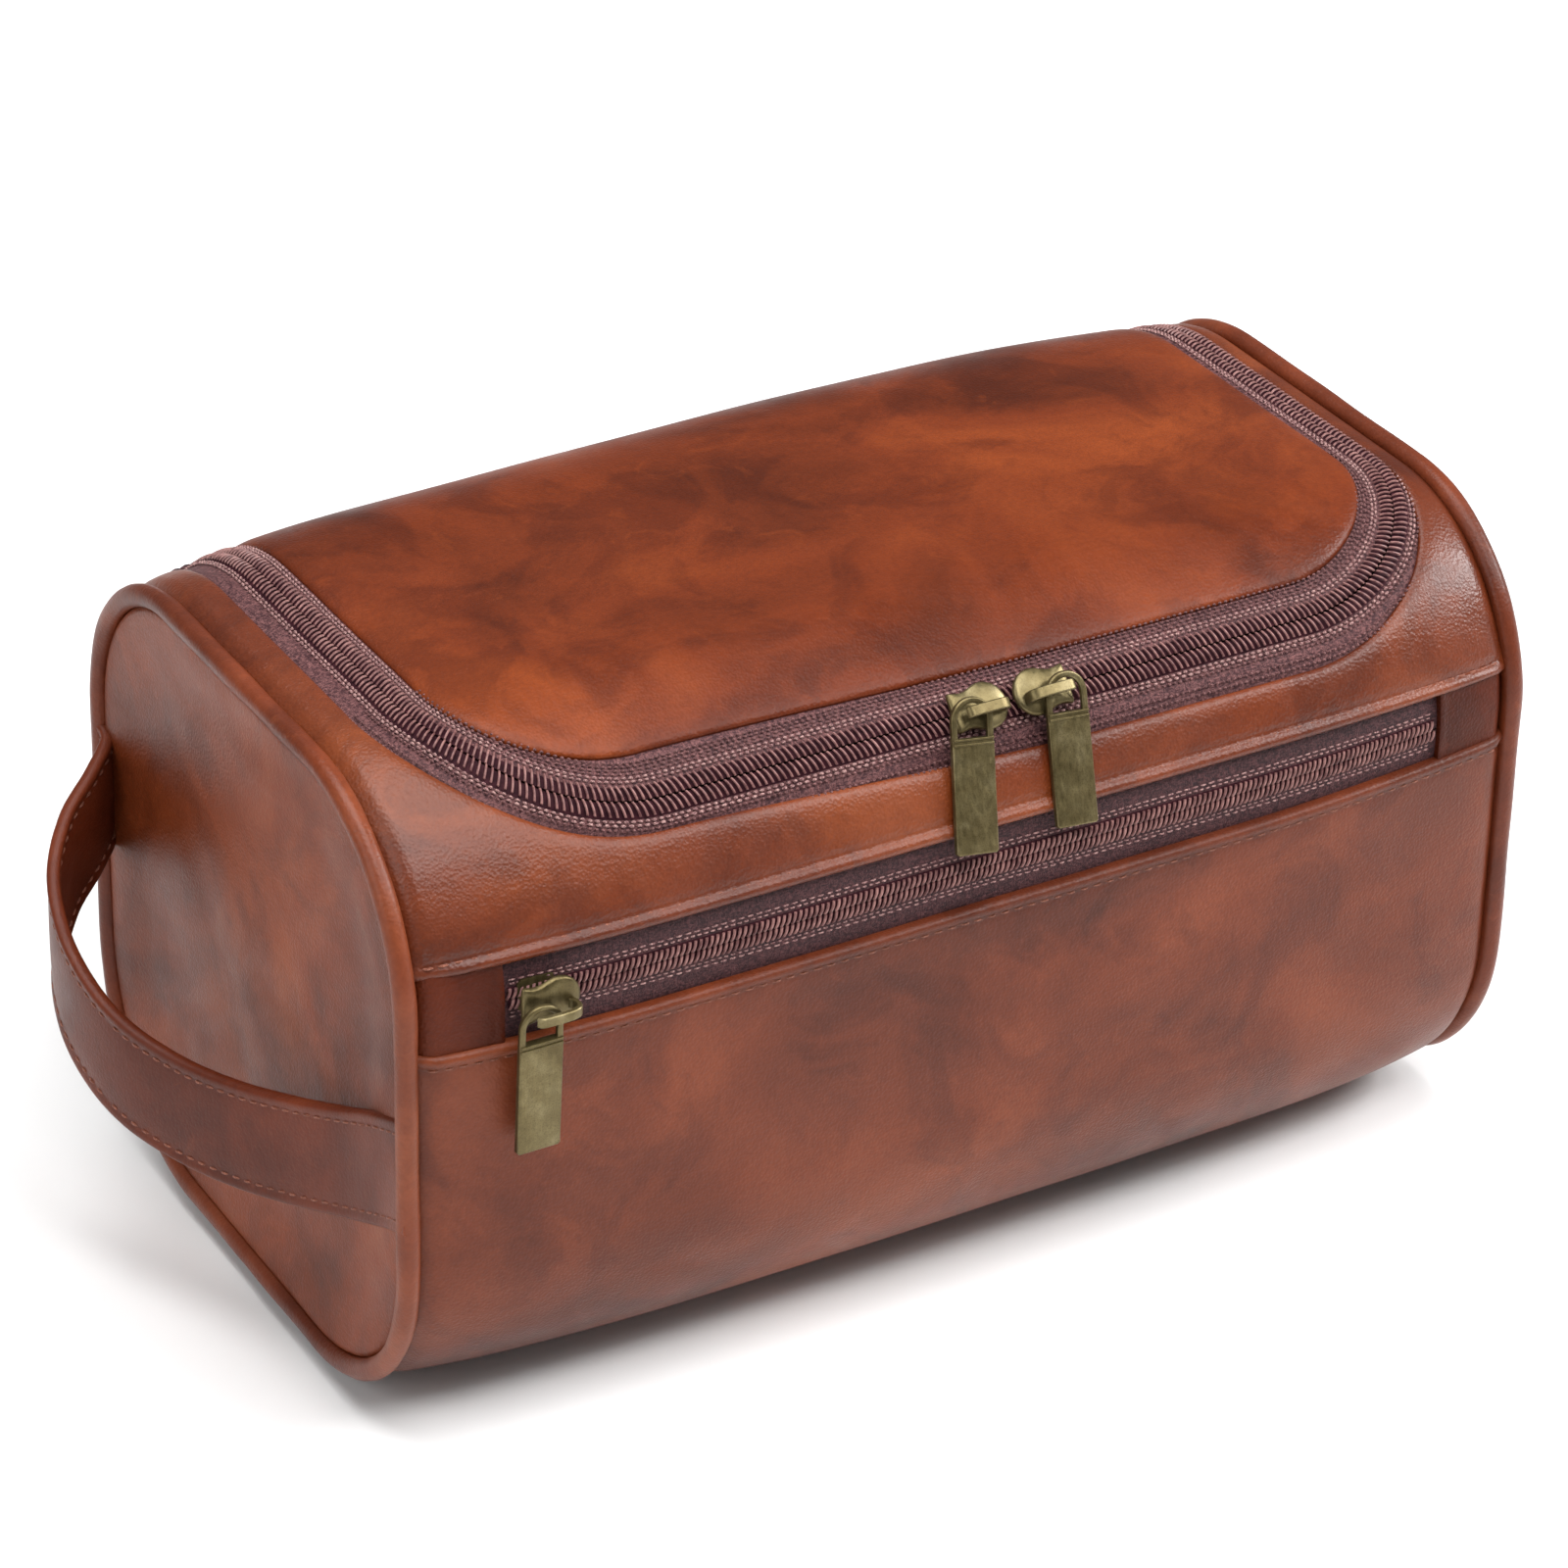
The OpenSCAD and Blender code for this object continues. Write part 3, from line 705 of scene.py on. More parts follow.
def piping(name, side, node):
    """Leather cord sewn round the end panel, slightly uneven."""
    v = np.linspace(-V_HALF, V_HALF, 361)[:-1]
    y, z, ny, nz = profile(v)
    r = PIPING_R + 0.05 * np.sin(v / 9) + 0.05 * np.sin(v / 4.1 + 1)
    lift = 1.0 * smooth((np.abs(v) - V_BOTTOM) / 60)
    inset = END_DRAW + PIPING_R - 0.9 - lift
    centre = np.stack([np.full_like(v, side * (HALF_L + 0.9)), y - ny * inset, z - nz * inset], -1)
    out = np.stack([0 * v, ny, nz], -1)
    sides = 14
    a = turns(sides)[:, None]
    ring = np.cos(a) * out[:, None] + np.sin(a) * np.array([side, 0, 0])
    verts = centre[:, None] + r[:, None, None] * ring
    obj = make(name, verts, tube_faces(len(v), sides, closed=True), MAT["piping"], "bag", "piping")
    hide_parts(node)
    return obj


# ---------- Zips ----------


def tape_strip(a, b, depth_a, depth_b, thick=0.5, inner=8, crown=0.35):
    """A strip of zip tape between two outlines, slightly crowned."""
    rows, depths = [], []
    for f in np.linspace(0, 1, inner):
        rows.append(a + (b - a) * f)
        depths.append(depth_a + (depth_b - depth_a) * f - crown * math.sin(math.pi * f))
    rows += [a + (b - a), a]
    depths += [depth_b + thick, depth_a + thick]
    return closed_strip(rows, np.array(depths))


def resample(curve, pitch, start=0.0):
    """Points at even spacing along a line on the unrolled surface, with unit directions."""
    s = distances(curve)
    at = np.arange(start, s[-1], pitch)
    step = pick(curve, s, np.minimum(at + 0.5, s[-1])) - pick(curve, s, np.maximum(at - 0.5, 0))
    return pick(curve, s, at), unit(step)


def beads(points, tangents, normals, length, r, rise):
    """Short bent threads, one at each point: their ends dip into the surface."""
    t = np.linspace(-1, 1, 6)
    w = np.sqrt(np.maximum(0, 1 - np.abs(t) ** 3)) * 0.75 + 0.25
    along = tangents[:, None] * (t * length / 2)[None, :, None]
    up = normals[:, None] * (rise * (1 - t**2) - r * 0.6)[None, :, None]
    centre = points[:, None] + along + up
    side = np.cross(tangents, normals)
    a = turns(6)[:, None]
    ring = np.cos(a) * side[:, None, None] + np.sin(a) * normals[:, None, None]
    verts = centre[:, :, None] + ring * (r * w)[None, :, None, None]
    return verts, many_tubes(len(points), 6, 6)


def ribs(curve, inner, outer, pitch, r, low, high, lean=0.35, start=0.0):
    """Coil of a zip: one bent rib for each turn, from inner to outer distance left of the line."""
    p, d = resample(curve, pitch, start)
    left = np.stack([-d[:, 1], d[:, 0]], 1)
    t = np.linspace(0, 1, 6)
    o = inner + (outer - inner) * t
    depth = low - (low - high) * np.sin(math.pi * (0.08 + 0.84 * t)) ** 0.6
    shift = lean * (t - 0.5) * abs(outer - inner)
    centre = p[:, None] + left[:, None] * o[None, :, None] + d[:, None] * shift[None, :, None]
    a = turns(6)
    flat = centre[:, :, None] + d[:, None, None] * (r * np.cos(a))[None, None, :, None]
    verts = place(flat[..., 0], flat[..., 1], depth[:, None] - r * np.sin(a))
    return verts, many_tubes(len(p), 6, 6)


def thread_row(curve, pitch, length, r, rise, depth):
    """A row of single stitches along a line."""
    p, d = resample(curve, pitch, 1.0)
    q, t, n = skin_frame(p[:, 0], p[:, 1], d, depth)
    return beads(q, t, n, length, r, rise)


# The two halves of the main zip, by their side of the coil's middle: 1 is the bag's and -1 the lid's.
# Rows are distance from that middle and pitch, of chain stitches all round and of woven ridges in front
RISE = {1: 0.5, -1: 0.85}
BARE = {1: BARE_BODY, -1: BARE_LID}
FIRST_TOOTH = {1: 0.0, -1: 0.72}
CHAINS = {1: ((4.05, 1.5), (4.85, 1.7)), -1: ((4.0, 1.4), (4.8, 1.5))}
RIDGES = {1: ((5.7, 1.3), (8.1, 1.4), (9.4, 1.3)), -1: ((5.6, 1.5), (6.4, 1.7), (7.2, 1.3), (8.0, 1.4))}


def main_zip_half(half, body, sign):
    """Tape, coil, chain stitches and woven ridges of one half."""
    back = V_HINGE + 0.3 * sign
    near = coil_curve(sign * SLIT, back)
    rim = cut_edge(*BARE[sign], back, sign * 2.5)
    strip = tape_strip(near, rim, 1.35, 2.05, crown=RISE[sign], inner=14)
    tape = make("tape_" + half, *strip, MAT["tape"], body, "zip_tape")
    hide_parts("zip_tape_" + half)
    # Near-black foot under the teeth: painted shade between them
    foot = tape_strip(near, coil_curve(sign * 3.5, back), 0.75, 1.05, 0.6, crown=0.1)
    base = make(f"coil_{half}_base", *foot, MAT["coil"], body, "zip_coil")
    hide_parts("zip_coil_" + half)
    middle = coil_curve(0, back)
    # Lighter teeth: partly painted highlight
    coil = ribs(middle, -sign * 0.1, -sign * 3.2, 1.45, 0.27, 0.8, 0.05, 0.4 * sign, FIRST_TOOTH[sign])
    make(f"coil_{half}_teeth", *coil, MAT["rib"], body, "zip_coil")
    depth = 1.0 - 0.5 * RISE[sign]
    # The stitch and ridge rows' light colour is partly painted highlight
    for name, rows, stop, cover, r, rise, look in (
        (f"tape_{half}_stitches", CHAINS[sign], back, 0.66, 0.3, 0.2, "thread_tape_painted_highlight"),
        (f"tape_{half}_stitches_weave", RIDGES[sign], V_FRONT_RUN, 0.6, 0.27, 0.16, "thread_dim_painted_highlight"),
    ):
        threads = [thread_row(coil_curve(sign * off, stop), p, p * cover, r, rise, depth) for off, p in rows]
        make(name, *join(threads), MAT[look], body, "zip_tape")


def zip_tail(name, node, side):
    """Ribbed folded end of the main zip, behind the lid's fold."""
    n, sides = 26, 8
    middle = coil_curve(0, V_HINGE)[0 if side < 0 else -1, 0]
    v = np.linspace(V_HINGE + 1.6, V_HINGE + 10, n)
    hump = 0.9 * np.sin(np.linspace(0.25, 1, n) * math.pi) ** 0.7
    a = turns(sides)
    ridges = []
    for k in range(-2, 3):
        wide = np.full((n, 1), middle + 2.6 * k) + 1.42 * np.cos(a)
        deep = 0.3 - hump[:, None] - 0.7 * np.sin(a)
        ridges.append((place(wide, v[:, None], deep), tube_faces(n, sides)))
    obj = make(name, *join(ridges), MAT["tape_dark"], "bag", "zip_tape")
    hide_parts(node)


def v_front(z):
    """v of a height on the straight part of the front wall."""
    return -(V_WALL + HEIGHT - TOP_R - z)


def pocket_zip():
    """Tapes, coils and chain stitches behind the pocket's window."""
    n = 160
    halves = (("top", "upper", 1, 117.0, 0.0), ("bottom", "lower", -1, 92.5, 0.6))
    for where, node, sign, edge_z, _ in halves:
        a, b = (across(113.0, v_front(z), n) for z in (POCKET_ZIP_Z + 0.25 * sign, edge_z))
        strip = tape_strip(a, b, 1.55, 2.0, 0.4, crown=0.15)
        obj = make("pocket_tape_" + where, *strip, MAT["tape_dark"], "bag", "zip_tape")
        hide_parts("pocket_tape_" + node)
    v = v_front(POCKET_ZIP_Z)
    middle = line((TAB_LEFT_X + 1, v), (TAB_RIGHT_X - 1, v), n)
    for where, node, sign, _, start in halves:
        name = "pocket_coil_" + where
        # Lighter teeth: partly painted highlight
        teeth = ribs(middle, sign * 0.1, sign * 2.4, 1.25, 0.33, 1.45, 0.85, 0.35 * sign, start)
        # Near-black foot under the teeth: painted shade between them
        foot = tape_strip(middle + [0, sign * 0.25], middle + [0, sign * 2.7], 1.35, 1.5, 0.3, crown=0.05)
        obj = make(name, *teeth, MAT["rib"], "bag", "zip_coil")
        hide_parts("pocket_coil_" + node)
        make(name + "_base", *foot, MAT["coil"], "bag", "zip_coil")
        rows = []
        for off, pitch in ((3.4, 1.5), (4.3, 2.0)):
            rows.append(thread_row(middle + [0, sign * off], pitch, pitch * 0.7, 0.2, 0.12, 1.5))
        # The stitches' light colour is partly painted highlight
        make(name + "_stitches", *join(rows), MAT["thread_tape_painted_highlight"], "bag", "zip_tape")


# ---------- Stitching on the leather ----------


def leather_stitches():
    """Rows of stitches beside the two pocket seams and the back seam."""
    seams = []
    for left, right in ((V_UPPER + 5.9, V_UPPER + 5.9), (V_LOWER_LEFT, V_LOWER), (V_BACK_SEAM, V_BACK_SEAM)):
        row = across(HALF_L - 3, left - 3.2, 200, right - 3.2)
        seams.append(thread_row(row, 3.1, 2.3, 0.3, 0.28, 0.2))
    make("seam_stitches", *join(seams), MAT["thread"], "bag", "leather")


# ---------- Strap handle ----------

STRAP_W = 25.0
STRAP_LAYER = 1.3
STITCH_IN = 2.75
# Strap section from its edge inwards: distance in, and share of a layer's thickness
STRAP_EDGE = (
    (0, 0.12), (0.12, 0.75), (0.5, 1.05), (1.1, 1.12), (1.9, 1.0),
    (2.6, 0.8), (3.2, 0.86), (4.2, 0.96), (7, 1.06), (10, 1.1),
)
# The strap's middle line from its front end to its back end
STRAP_ROUTE = np.array(
    [
        (-131.5, -72, 70), (-131.5, -62, 66), (-133, -50, 61), (-138, -36, 57),
        (-144, -22, 54.5), (-150, -8, 54), (-155.5, 6, 56), (-158, 19, 59.5),
        (-158, 32, 65), (-154.5, 44, 71.5), (-147, 54, 77.5), (-138, 61, 82),
        (-132, 67, 85), (-131.5, 72, 87),
    ],
    float,
)


def spline(points, steps):
    """Smooth curve through the points."""
    p = np.concatenate([points[:1], points, points[-1:]])
    out = []
    for a, b, c, d in zip(p, p[1:], p[2:], p[3:]):
        for t in np.linspace(0, 1, steps, endpoint=False):
            bend = (2 * a - 5 * b + 4 * c - d) * t**2 + (3 * b - a - 3 * c + d) * t**3
            out.append(0.5 * (2 * b + (c - a) * t + bend))
    return np.array(out + [points[-1]])


def strap():
    """Handle of two sewn layers in two halves, each with its stitches."""
    path = spline(STRAP_ROUTE, 12)
    tangent = unit(np.gradient(path, axis=0))
    up = unit(np.array([0, 0, 1.0]) - tangent * tangent[:, 2:3] * 0.35)
    out = unit(np.cross(up, tangent))
    middle = len(path) // 2
    half, t = STRAP_W / 2, STRAP_LAYER
    outer = [(half - w, d * t) for w, d in STRAP_EDGE]
    outer += [(-w, d) for w, d in reversed(outer)]
    section = outer + [(w, -d) for w, d in reversed(outer)]
    # Points of the path where each half stops being held by its sewn end, and where it moves freely
    halves = (("strap_front", slice(0, middle + 1), 24, 42), ("strap_back", slice(middle, None), 138, 114))
    for name, span, held, free in halves:
        verts, faces = sweep(path[span], out[span], up[span], section)
        obj = make(name, verts, faces, MAT["strap"], slot="strap")
        s = distances(path[span])
        at = np.arange(1.5, s[-1] - 1, 3.0)
        p, o, u, g = (pick(vectors[span], s, at) for vectors in (path, out, up, tangent))
        rows = []
        for w in (half - STITCH_IN, STITCH_IN - half):
            for face in (1, -1):
                rows.append(beads(p + u * w + o * face * t * 0.82, g, o * face, 2.2, 0.27, 0.28))
        stitches = make(name + "_stitches", *join(rows), MAT["thread"], slot="strap")
        for piece in (obj, stitches):
            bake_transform(piece)
        if name == "strap_front":
            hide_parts("handle_outer", "strap_end_front")
        else:
            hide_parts("handle_inner", "strap_end_back")


# ---------- Sliders and pulls ----------

PLATE_LOW = 0.4
PLATE_TOP = 1.8
NOSE_R = 4.9
NOSE_X = 1.5
# A slider's bridge, which holds the pull: how far it lies to one side, and its middle line as (x, height)
BRIDGE_Y = -1.2
BRIDGE = np.array(
    [
        (3.6, 1.4), (4.4, 2.7), (4.55, 4.2), (4.0, 5.35), (2.6, 5.95),
        (0.6, 6.1), (-1.4, 6.1), (-3.3, 6.0), (-4.3, 5.75), (-4.7, 5.2),
    ]
)
# A pull: half its width, its height above the pivot, how far it stands off the pivot, its ring's bar, the
# window in its ring, and the thickness of its blade
PULL_HALF = 4.75
PULL_TOP = 2.8
PULL_OFF = 1.5
RING_BAR = 1.35
RING_WINDOW = 5.5
BLADE_T = 1.5


def plate_outline():
    """Teardrop outline of a slider: round nose, drawn-in flanks, squared tail."""
    angles = np.radians(np.linspace(-112, 112, 30))
    nose = [(NOSE_X + NOSE_R * math.cos(a), NOSE_R * math.sin(a)) for a in angles]
    flank = [(-1.0, 4.3), (-2.0, 3.9), (-3.2, 3.75), (-4.6, 3.95), (-5.7, 4.2), (-6.1, 3.9)]
    tail = [(-6.2, 3.0), (-6.25, 0.0), (-6.2, -3.0)]
    return np.array(nose + flank + tail + [(x, -y) for x, y in reversed(flank)])


def dome(outline, levels, centre):
    """A solid whose rings shrink towards centre: levels are (share of the outline, height)."""
    rings = [np.insert(centre + (outline - centre) * share, 2, h, axis=1) for share, h in levels]
    return np.concatenate(rings), tube_faces(len(levels), len(outline))


def slider_mesh():
    """Slider in its own frame: x along the zip, z outwards."""
    low, top = PLATE_LOW, PLATE_TOP
    levels = [(0.9, low), (1.0, low + 0.35), (1.0, top - 0.55), (0.965, top - 0.2), (0.9, top)]
    levels += [(0.7, top + 0.22), (0.4, top + 0.38), (0.12, top + 0.42), (0.01, top + 0.42)]
    plate = dome(plate_outline(), levels, np.array([-0.8, 0.0]))
    curve = spline(np.insert(BRIDGE, 1, BRIDGE_Y, axis=1), 6)
    up = np.tile([0, 1.0, 0], (len(curve), 1))
    out = np.cross(up, unit(np.gradient(curve, axis=0)))
    w, d = 1.1, 0.55
    right = [(w, -d + 0.15), (w, d - 0.2), (w - 0.2, d)]
    left = [(-w + 0.2, d), (-w, d - 0.2), (-w, -d + 0.15)]
    section = right + left + [(-w + 0.15, -d), (w - 0.15, -d)]
    return join([plate, sweep(curve, out, up, section)])


def under_mesh(y0, y1):
    """Plate behind the tape, with eased corners."""
    x, z0, z1, cut = 5.0, -3.6, -2.7, 0.8
    right = [(x - cut, y0), (x, y0 + cut), (x, y1 - cut), (x - cut, y1)]
    left = [(-x + cut, y1), (-x, y1 - cut), (-x, y0 + cut), (-x + cut, y0)]
    levels = [(0.01, z0), (0.9, z0), (1, z0 + 0.2), (1, z1 - 0.2), (0.9, z1), (0.01, z1)]
    return dome(np.array(left[3:] + right + left[:3]), levels, np.array([0, (y0 + y1) / 2]))


def web_box(low, high):
    """A thin upright plate between two corners."""
    (x0, y0, z0), (x1, y1, z1) = low, high
    verts = [(x, y, z) for x in (x0, x1) for y in (y0, y1) for z in (z0, z1)]
    faces = [(0, 1, 3, 2), (4, 6, 7, 5), (0, 4, 5, 1), (2, 3, 7, 6), (0, 2, 6, 4), (1, 5, 7, 3)]
    return np.array(verts, float), faces


def slider(name, origin, tilt, facing, under, web):
    """A slider placed on its zip. facing is 1 with its nose to the right."""
    verts, faces = join([slider_mesh(), under_mesh(*under)])
    c, s = math.cos(tilt), math.sin(tilt)
    turn = np.array([(facing, 0, 0), (0, c, -s), (0, s, c)])
    whole = join([(verts @ turn.T + origin, faces), web_box(*web)])
    obj = make(name + "_metal", *whole, MAT["brass"], name, "brass", 38, False)
    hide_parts(name)


def flat_metal(outlines, thick, bevel):
    """A flat plate with round edges from an outline and its holes, in the XZ plane. Millimetres."""
    curve = bpy.data.curves.new("outline", "CURVE")
    curve.dimensions = "2D"
    curve.fill_mode = "BOTH"
    curve.extrude = (thick / 2 - bevel) * MM
    curve.bevel_depth = bevel * MM
    curve.offset = -bevel * MM
    curve.bevel_resolution = 3
    for points in outlines:
        edge = curve.splines.new("POLY")
        edge.points.add(len(points) - 1)
        for p, (x, y) in zip(edge.points, points):
            p.co = (x * MM, y * MM, 0, 1)
        edge.use_cyclic_u = True
    obj = bpy.data.objects.new("outline", curve)
    bpy.context.scene.collection.objects.link(obj)
    bpy.context.view_layer.update()
    mesh = bpy.data.meshes.new_from_object(obj.evaluated_get(bpy.context.evaluated_depsgraph_get()))
    verts = np.array([v.co for v in mesh.vertices]) / MM
    faces = [tuple(f.vertices) for f in mesh.polygons]
    bpy.data.objects.remove(obj)
    bpy.data.curves.remove(curve)
    bpy.data.meshes.remove(mesh)
    return np.column_stack([verts[:, 0], -verts[:, 2], verts[:, 1]]), faces


def arch_points(half, top, low, inset=0.0, corner=0.7):
    """Outline with a round top and eased lower corners, drawn in by inset."""
    r = half - inset
    cz = top - half
    turn = [(r * math.cos(a), cz + r * math.sin(a)) for a in np.radians(np.linspace(0, 180, 26))]
    low = low + inset
    eased = [(corner * (1 - math.sin(a)), corner * (1 - math.cos(a))) for a in np.radians((90, 60, 30, 0))]
    left = [(-r + x, low + z) for x, z in eased]
    return turn + left + [(-x, z) for x, z in reversed(left)]


def pull(name, node, pivot, lean, drop, swing):
    """Flat pull with a ring at its top, hanging from pivot and swung a few degrees sideways."""
    low = -RING_WINDOW
    around = arch_points(PULL_HALF, PULL_TOP, low - 2.5)
    inside = arch_points(PULL_HALF, PULL_TOP, low - RING_BAR, RING_BAR, 0.35)
    ring = flat_metal([around, inside], 1.3, 0.42)
    w, neck = PULL_HALF, low - 0.9
    right = [(w - 0.35, neck), (w, neck - 0.35), (w, -drop + 0.5), (w - 0.5, -drop)]
    blade = flat_metal([right + [(-x, z) for x, z in reversed(right)]], BLADE_T, 0.36)
    lines = []
    for z in (low - 0.15, low - 1.15):
        x = w - 0.15
        lines.append(flat_metal([[(x, z + 0.25), (x, z - 0.25), (-x, z - 0.25), (-x, z + 0.25)]], 1.95, 0.2))
    verts, faces = join([ring, blade, *lines])
    c, s = math.cos(math.radians(swing)), math.sin(math.radians(swing))
    verts = (verts + [0, PULL_OFF, 0]) @ np.array([(c, 0, s), (0, 1, 0), (-s, 0, c)]).T
    c, s = math.cos(math.radians(-lean)), math.sin(math.radians(-lean))
    verts = verts @ np.array([(1, 0, 0), (0, c, -s), (0, s, c)]).T + pivot
    obj = make(name, verts, faces, MAT["brass"], node, "brass", 38, False)
    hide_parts(node)


def hardware():
    """Sliders at their places on the zips, and the pulls on their hinges."""
    line_y = 65.5
    tilt = math.asin((line_y - TOP_FLAT) / TOP_R)
    zip_z = HEIGHT - TOP_R + TOP_R * math.cos(tilt)
    for name, x, facing in (("slider_left", 0.3, 1), ("slider_right", 15.0, -1)):
        web = ((x - 5, -line_y - 0.3, zip_z - 4.9), (x + 5, -line_y + 0.3, zip_z + 1.6))
        slider(name, np.array([x, -line_y, zip_z]), tilt, facing, (-3.3, 4.4), web)
    x, front = -102.5, -HALF_D + 0.4
    web = ((x - 5, front - 0.6, POCKET_ZIP_Z - 0.2), (x + 5, front + 2.8, POCKET_ZIP_Z + 0.2))
    slider("pocket_slider", np.array([x, front, POCKET_ZIP_Z]), math.pi / 2, 1, (-3.5, 3.5), web)
    pivots = {j["child"]: np.array(j["pos_m"]) / MM for j in frame["joints"] if j["type"] == "hinge"}
    # Lean off the skin, length below the pivot and sideways swing, from the photo
    for node, *hang in (("pull_left", 22, 28.6, 8), ("pull_right", 22, 28.4, 5), ("pocket_pull", -3, 31, 0)):
        pull(node + "_metal", node, pivots[node], *hang)


# ---------- Inside ----------

LINING_HALF = 125.3
LINING_DEPTH = 4.15
# Depths at EDGE_MM where the lining is sewn to a tape, and where two parts of it meet
SEWN = np.array([2.8, 2.2, 2.25, 2.5, 2.9, 3.4, 3.8, 4.0, 4.1, LINING_DEPTH])
LID_SEWN = np.array([4.8, 2.6, 2.5, 2.7, 3.1, 3.5, 3.8, 4.0, 4.1, LINING_DEPTH])
MEETING = np.array([4.75] + [LINING_DEPTH] * 9)


def lining():
    """Cloth inside the body, sewn to the tape round the opening, and its two padded ends."""
    half = LINING_HALF
    cloth = {"thick": 4.8, "level": LINING_DEPTH, "ripple": 0.25}
    a = zip_curve(5.0, 6.0, V_HINGE + 1)
    b, _, slant = frame_curve(half, V_UPPER, V_HINGE + 1)
    seam, n = V_BACK_SEAM, 60
    parts = [
        band(a, b, SEWN, MEETING, 10, slant_b=slant, **cloth),
        band(across(half, V_HINGE + 1, n), across(half, seam, n), SEWN, MEETING, 6, **cloth),
        band(across(half, V_UPPER, n), across(half, seam - 2 * V_HALF, n), MEETING, MEETING, 90, **cloth),
    ]
    v = np.linspace(-V_HALF, V_HALF, 161)[:-1]
    y, z, ny, nz = profile(v)
    ey, ez = y - ny * 8.3, z - nz * 8.3
    middle = HEIGHT / 2
    for side in (-1, 1):
        rings = []
        for r, out in ((1.0, 0.6), (1.0, 0.0), (0.7, 0.3), (0.4, 0.5), (0.05, 0.6)):
            x = np.full_like(v, side * (half + out - 0.6))
            rings.append(np.stack([x, ey * r, middle + (ez - middle) * r], -1))
        parts.append((np.concatenate(rings), tube_faces(len(rings), len(v))))
    obj = make("body_lining_cloth", *join(parts), MAT["lining"], "bag", "lining")
    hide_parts("body_lining", "end_padding_left", "end_padding_right")


def lid_lining_cloth():
    """Cloth under the lid, sewn to its tape."""
    shape = LID_SEWN - LINING_DEPTH
    verts, faces = fill((-6.0, -6.0, 0, 0), V_HINGE - 0.3, 0.6, LINING_DEPTH, shape)
    obj = make("lid_lining_cloth", verts, faces, MAT["lining"], "lid", "lining")
    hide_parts("lid_lining")


def pouch():
    """Cloth pouch behind the pocket zip: two layers that swell between their seams."""
    low, high = cad_mm("pocket_pouch")
    n, m = 70, 48
    v0 = -(V_WALL - TOP_R * math.asin((high[2] - 1 - HEIGHT + TOP_R) / TOP_R))
    v1 = -(V_BOTTOM + BOTTOM_R * 0.385)
    x, v = np.meshgrid(np.linspace(low[0], high[0], n), np.linspace(v0, v1, m), indexing="ij")
    u, w = x / high[0], (v - v0) / (v1 - v0) * 2 - 1
    puff = np.sqrt(np.maximum(0, 1 - np.abs(u) ** 14)) * np.sqrt(np.maximum(0, 1 - np.abs(w) ** 8))
    creases = 0.35 * np.sin(x / 9 + v / 17) * np.sin(v / 11 + 1) * puff
    front = 5.1
    back = front + 0.3 + 5.4 * puff * (0.86 + 0.12 * np.sin(x / 31 + 1)) + creases
    verts = np.stack([place(x, v, depth) for depth in (front, back)])
    faces = grid_faces(n, m) + grid_faces(n, m, n * m)
    rim = [i * m for i in range(n)] + [(n - 1) * m + j for j in range(1, m)]
    rim += [i * m + m - 1 for i in reversed(range(n - 1))] + list(reversed(range(1, m - 1)))
    faces += [(a, b, b + n * m, a + n * m) for a, b in zip(rim, rim[1:] + rim[:1])]
    obj = make("pouch_cloth", verts, faces, MAT["lining"], "bag", "lining")
    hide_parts("pocket_pouch")


def board():
    """Cloth-covered board in the bottom, with soft edges."""
    low, high = cad_mm("base_board")
    x, y = (high[0] - low[0]) / 2, (high[1] - low[1]) / 2
    r = 6.0
    angles = np.radians(np.linspace(0, 90, 9))
    corner = [(x - r + r * math.cos(a), y - r + r * math.sin(a)) for a in angles]
    far = corner + [(-px, py) for px, py in reversed(corner)]
    outline = np.array(far + [(px, -py) for px, py in reversed(far)])
    z0, z1 = low[2], high[2]
    levels = [(0.01, z0), (0.99, z0), (1, z0 + 0.4), (1, z1 - 0.4)]
    levels += [(0.99, z1), (0.93, z1 + 0.1), (0.6, z1), (0.01, z1)]
    obj = make("board_cloth", *dome(outline, levels, np.zeros(2)), MAT["board"], "bag", "board", soft=False)
    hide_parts("base_board")


# ---------- Build ----------


def build():
    """Every piece of the visual model."""
    lid_leather()
    yoke()
    wrap()
    tab("pocket_tab_left_leather", "pocket_tab_left", -HALF_L + 1.5, TAB_LEFT_X, 1)
    tab("pocket_tab_right_leather", "pocket_tab_right", TAB_RIGHT_X, HALF_L - 1.5, -1)
    sides = (("left", -1), ("right", 1))
    for hand, side in sides:
        end_panel(f"end_{hand}_leather", side, "end_panel_" + hand)
    for hand, side in sides:
        piping(f"piping_{hand}_cord", side, "piping_" + hand)
    main_zip_half("body", "bag", 1)
    main_zip_half("lid", "lid", -1)
    for hand, side in sides:
        zip_tail("zip_tail_" + hand, "zip_end_tab_" + hand, side)
    for rest in (pocket_zip, leather_stitches, strap, hardware, lining, lid_lining_cloth, pouch, board):
        rest()


# ---------- Stage ----------


def floor():
    """A plain pale floor."""
    s = Shader("floor_white").set(Base_Color=(0.84, 0.84, 0.84, 1), Roughness=0.8)
    bpy.ops.mesh.primitive_plane_add(size=12, location=(0, 0, 0))
    plane = bpy.context.object
    plane.name = "floor"
    plane.data.materials.append(s.material)


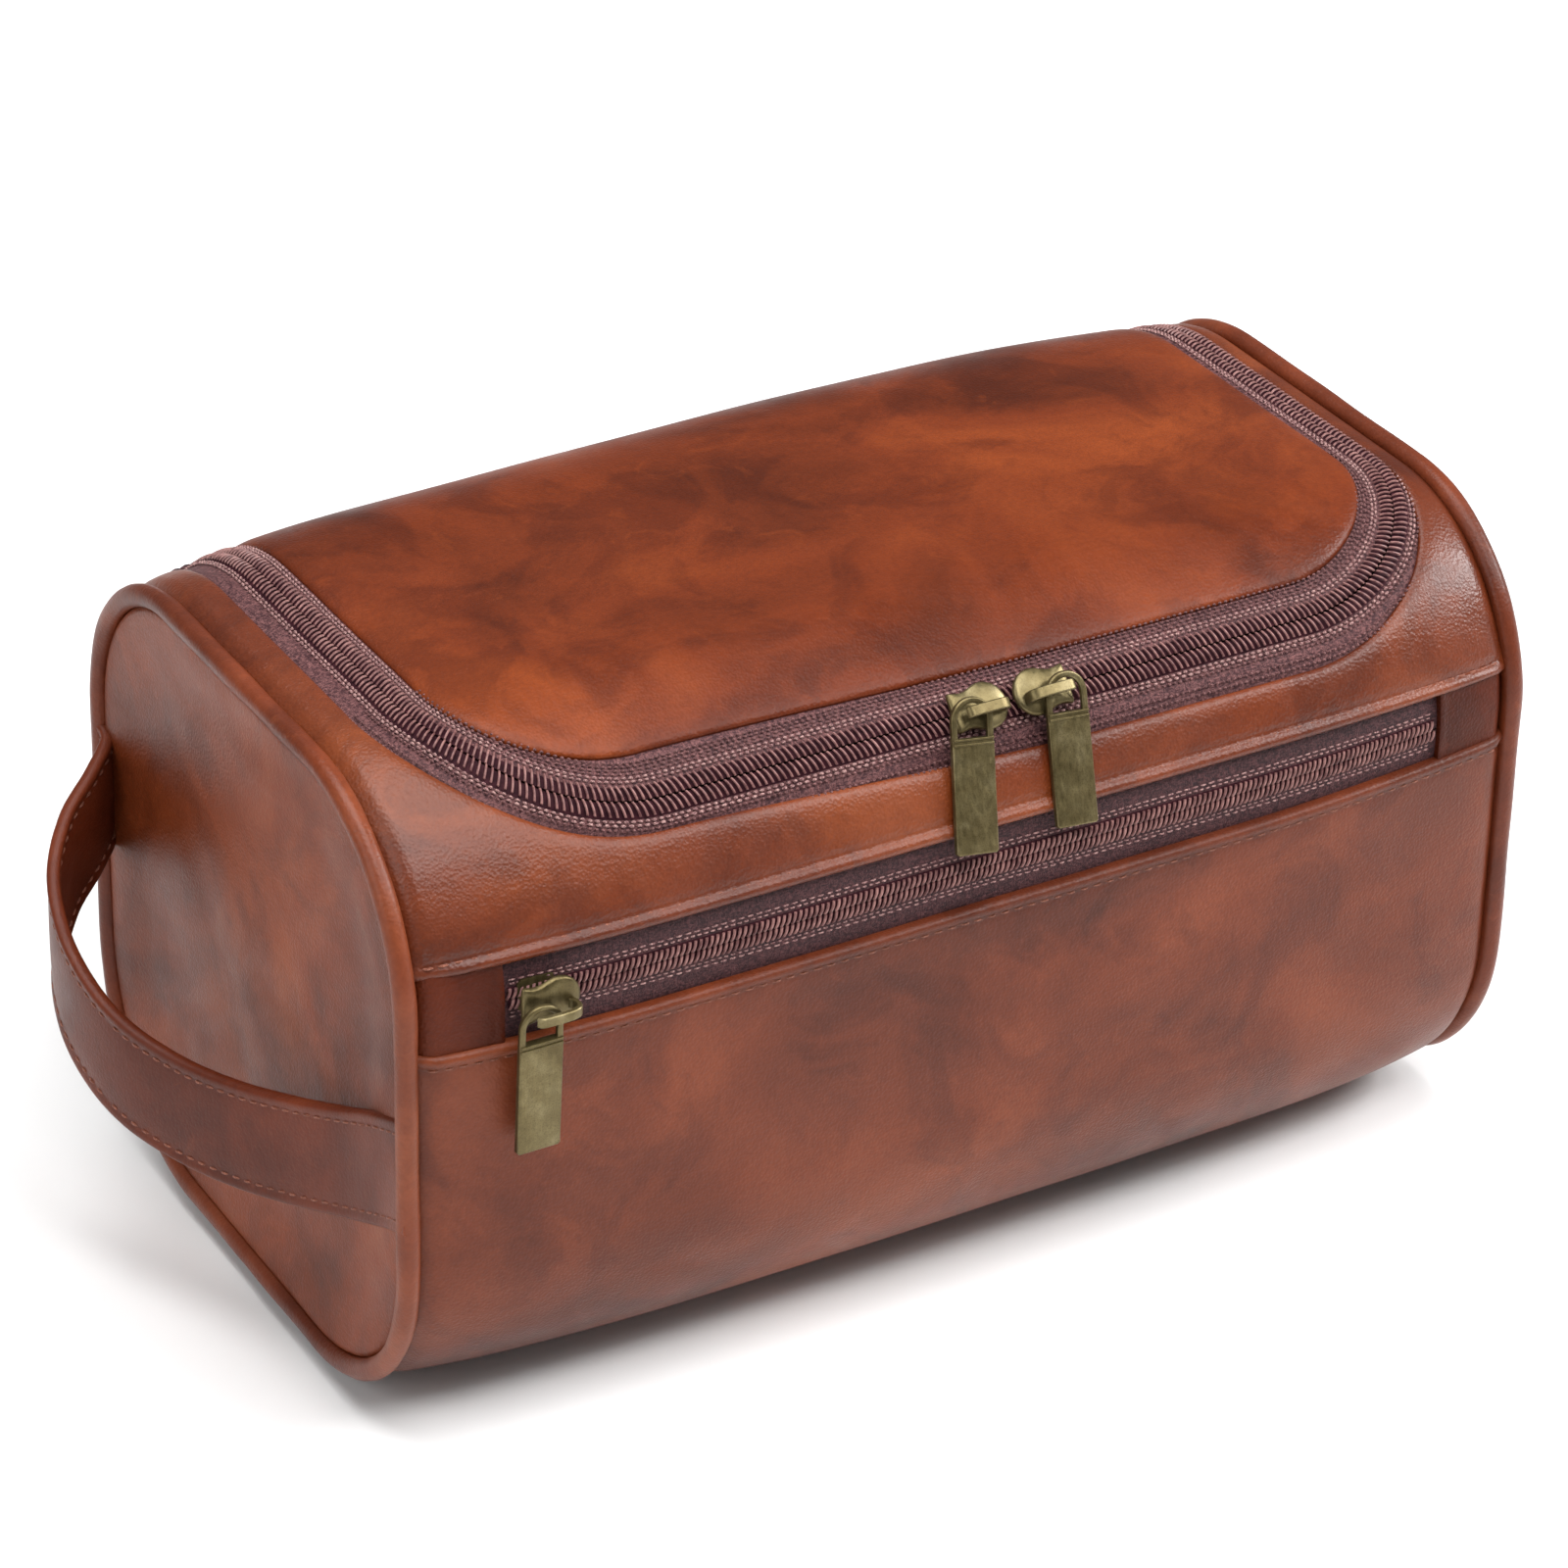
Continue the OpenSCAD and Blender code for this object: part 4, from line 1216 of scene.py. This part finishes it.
def softbox(name, place_m, size, power):
    """A rectangular area light that faces the bag."""
    light = bpy.data.lights.new(name, "AREA")
    light.shape = "RECTANGLE"
    light.size, light.size_y = size
    light.energy = power
    obj = bpy.data.objects.new(name, light)
    bpy.context.scene.collection.objects.link(obj)
    obj.location = place_m
    obj.rotation_euler = (Vector((0, 0, 0.08)) - Vector(place_m)).to_track_quat("-Z", "Y").to_euler()


def lights():
    """A large light above, four smaller ones for the sheen on the leather, and a white surround."""
    softbox("top", (-0.1, -0.05, 1.5), (1.5, 1.1), 28)
    softbox("front_right", (0.7, -0.85, 1.15), (0.55, 0.4), 8)
    softbox("shoulder_right", (1.25, -0.42, 0.8), (0.4, 0.4), 15)
    softbox("shoulder_left", (-0.06, -0.85, 1.25), (0.3, 0.3), 5)
    softbox("left", (-1.5, -0.3, 0.9), (0.8, 1.0), 9)
    world = bpy.data.worlds.new("studio")
    world.use_nodes = True
    surround = world.node_tree.nodes["Background"].inputs
    surround["Color"].default_value = (1, 1, 1, 1)
    surround["Strength"].default_value = 0.26
    bpy.context.scene.world = world


def camera():
    """The photo's angle and framing, found by fitting the bag's edges."""
    azimuth, elevation, roll = math.radians(-31.24), math.radians(31.25), math.radians(1.48)
    distance_m, aim_m = 1.3293, (0, 0, 0.065)
    level = math.cos(elevation)
    back = Vector((math.sin(azimuth) * level, -math.cos(azimuth) * level, math.sin(elevation)))
    right = Vector((math.cos(azimuth), math.sin(azimuth), 0))
    up = back.cross(right)
    right, up = right * math.cos(roll) + up * math.sin(roll), up * math.cos(roll) - right * math.sin(roll)
    data = bpy.data.cameras.new("camera")
    data.sensor_width = 36
    data.lens = 144.75
    data.shift_x = -0.0096
    data.shift_y = 0.0504
    data.clip_start, data.clip_end = 0.05, 50
    obj = bpy.data.objects.new("camera", data)
    bpy.context.scene.collection.objects.link(obj)
    place_m = Vector(aim_m) + back * distance_m
    turn = Matrix((right, up, back)).transposed().to_4x4()
    obj.matrix_world = Matrix.Translation(place_m) @ turn
    bpy.context.scene.camera = obj


build()
floor()
lights()
camera()
bpy.context.scene.view_settings.view_transform = "Standard"
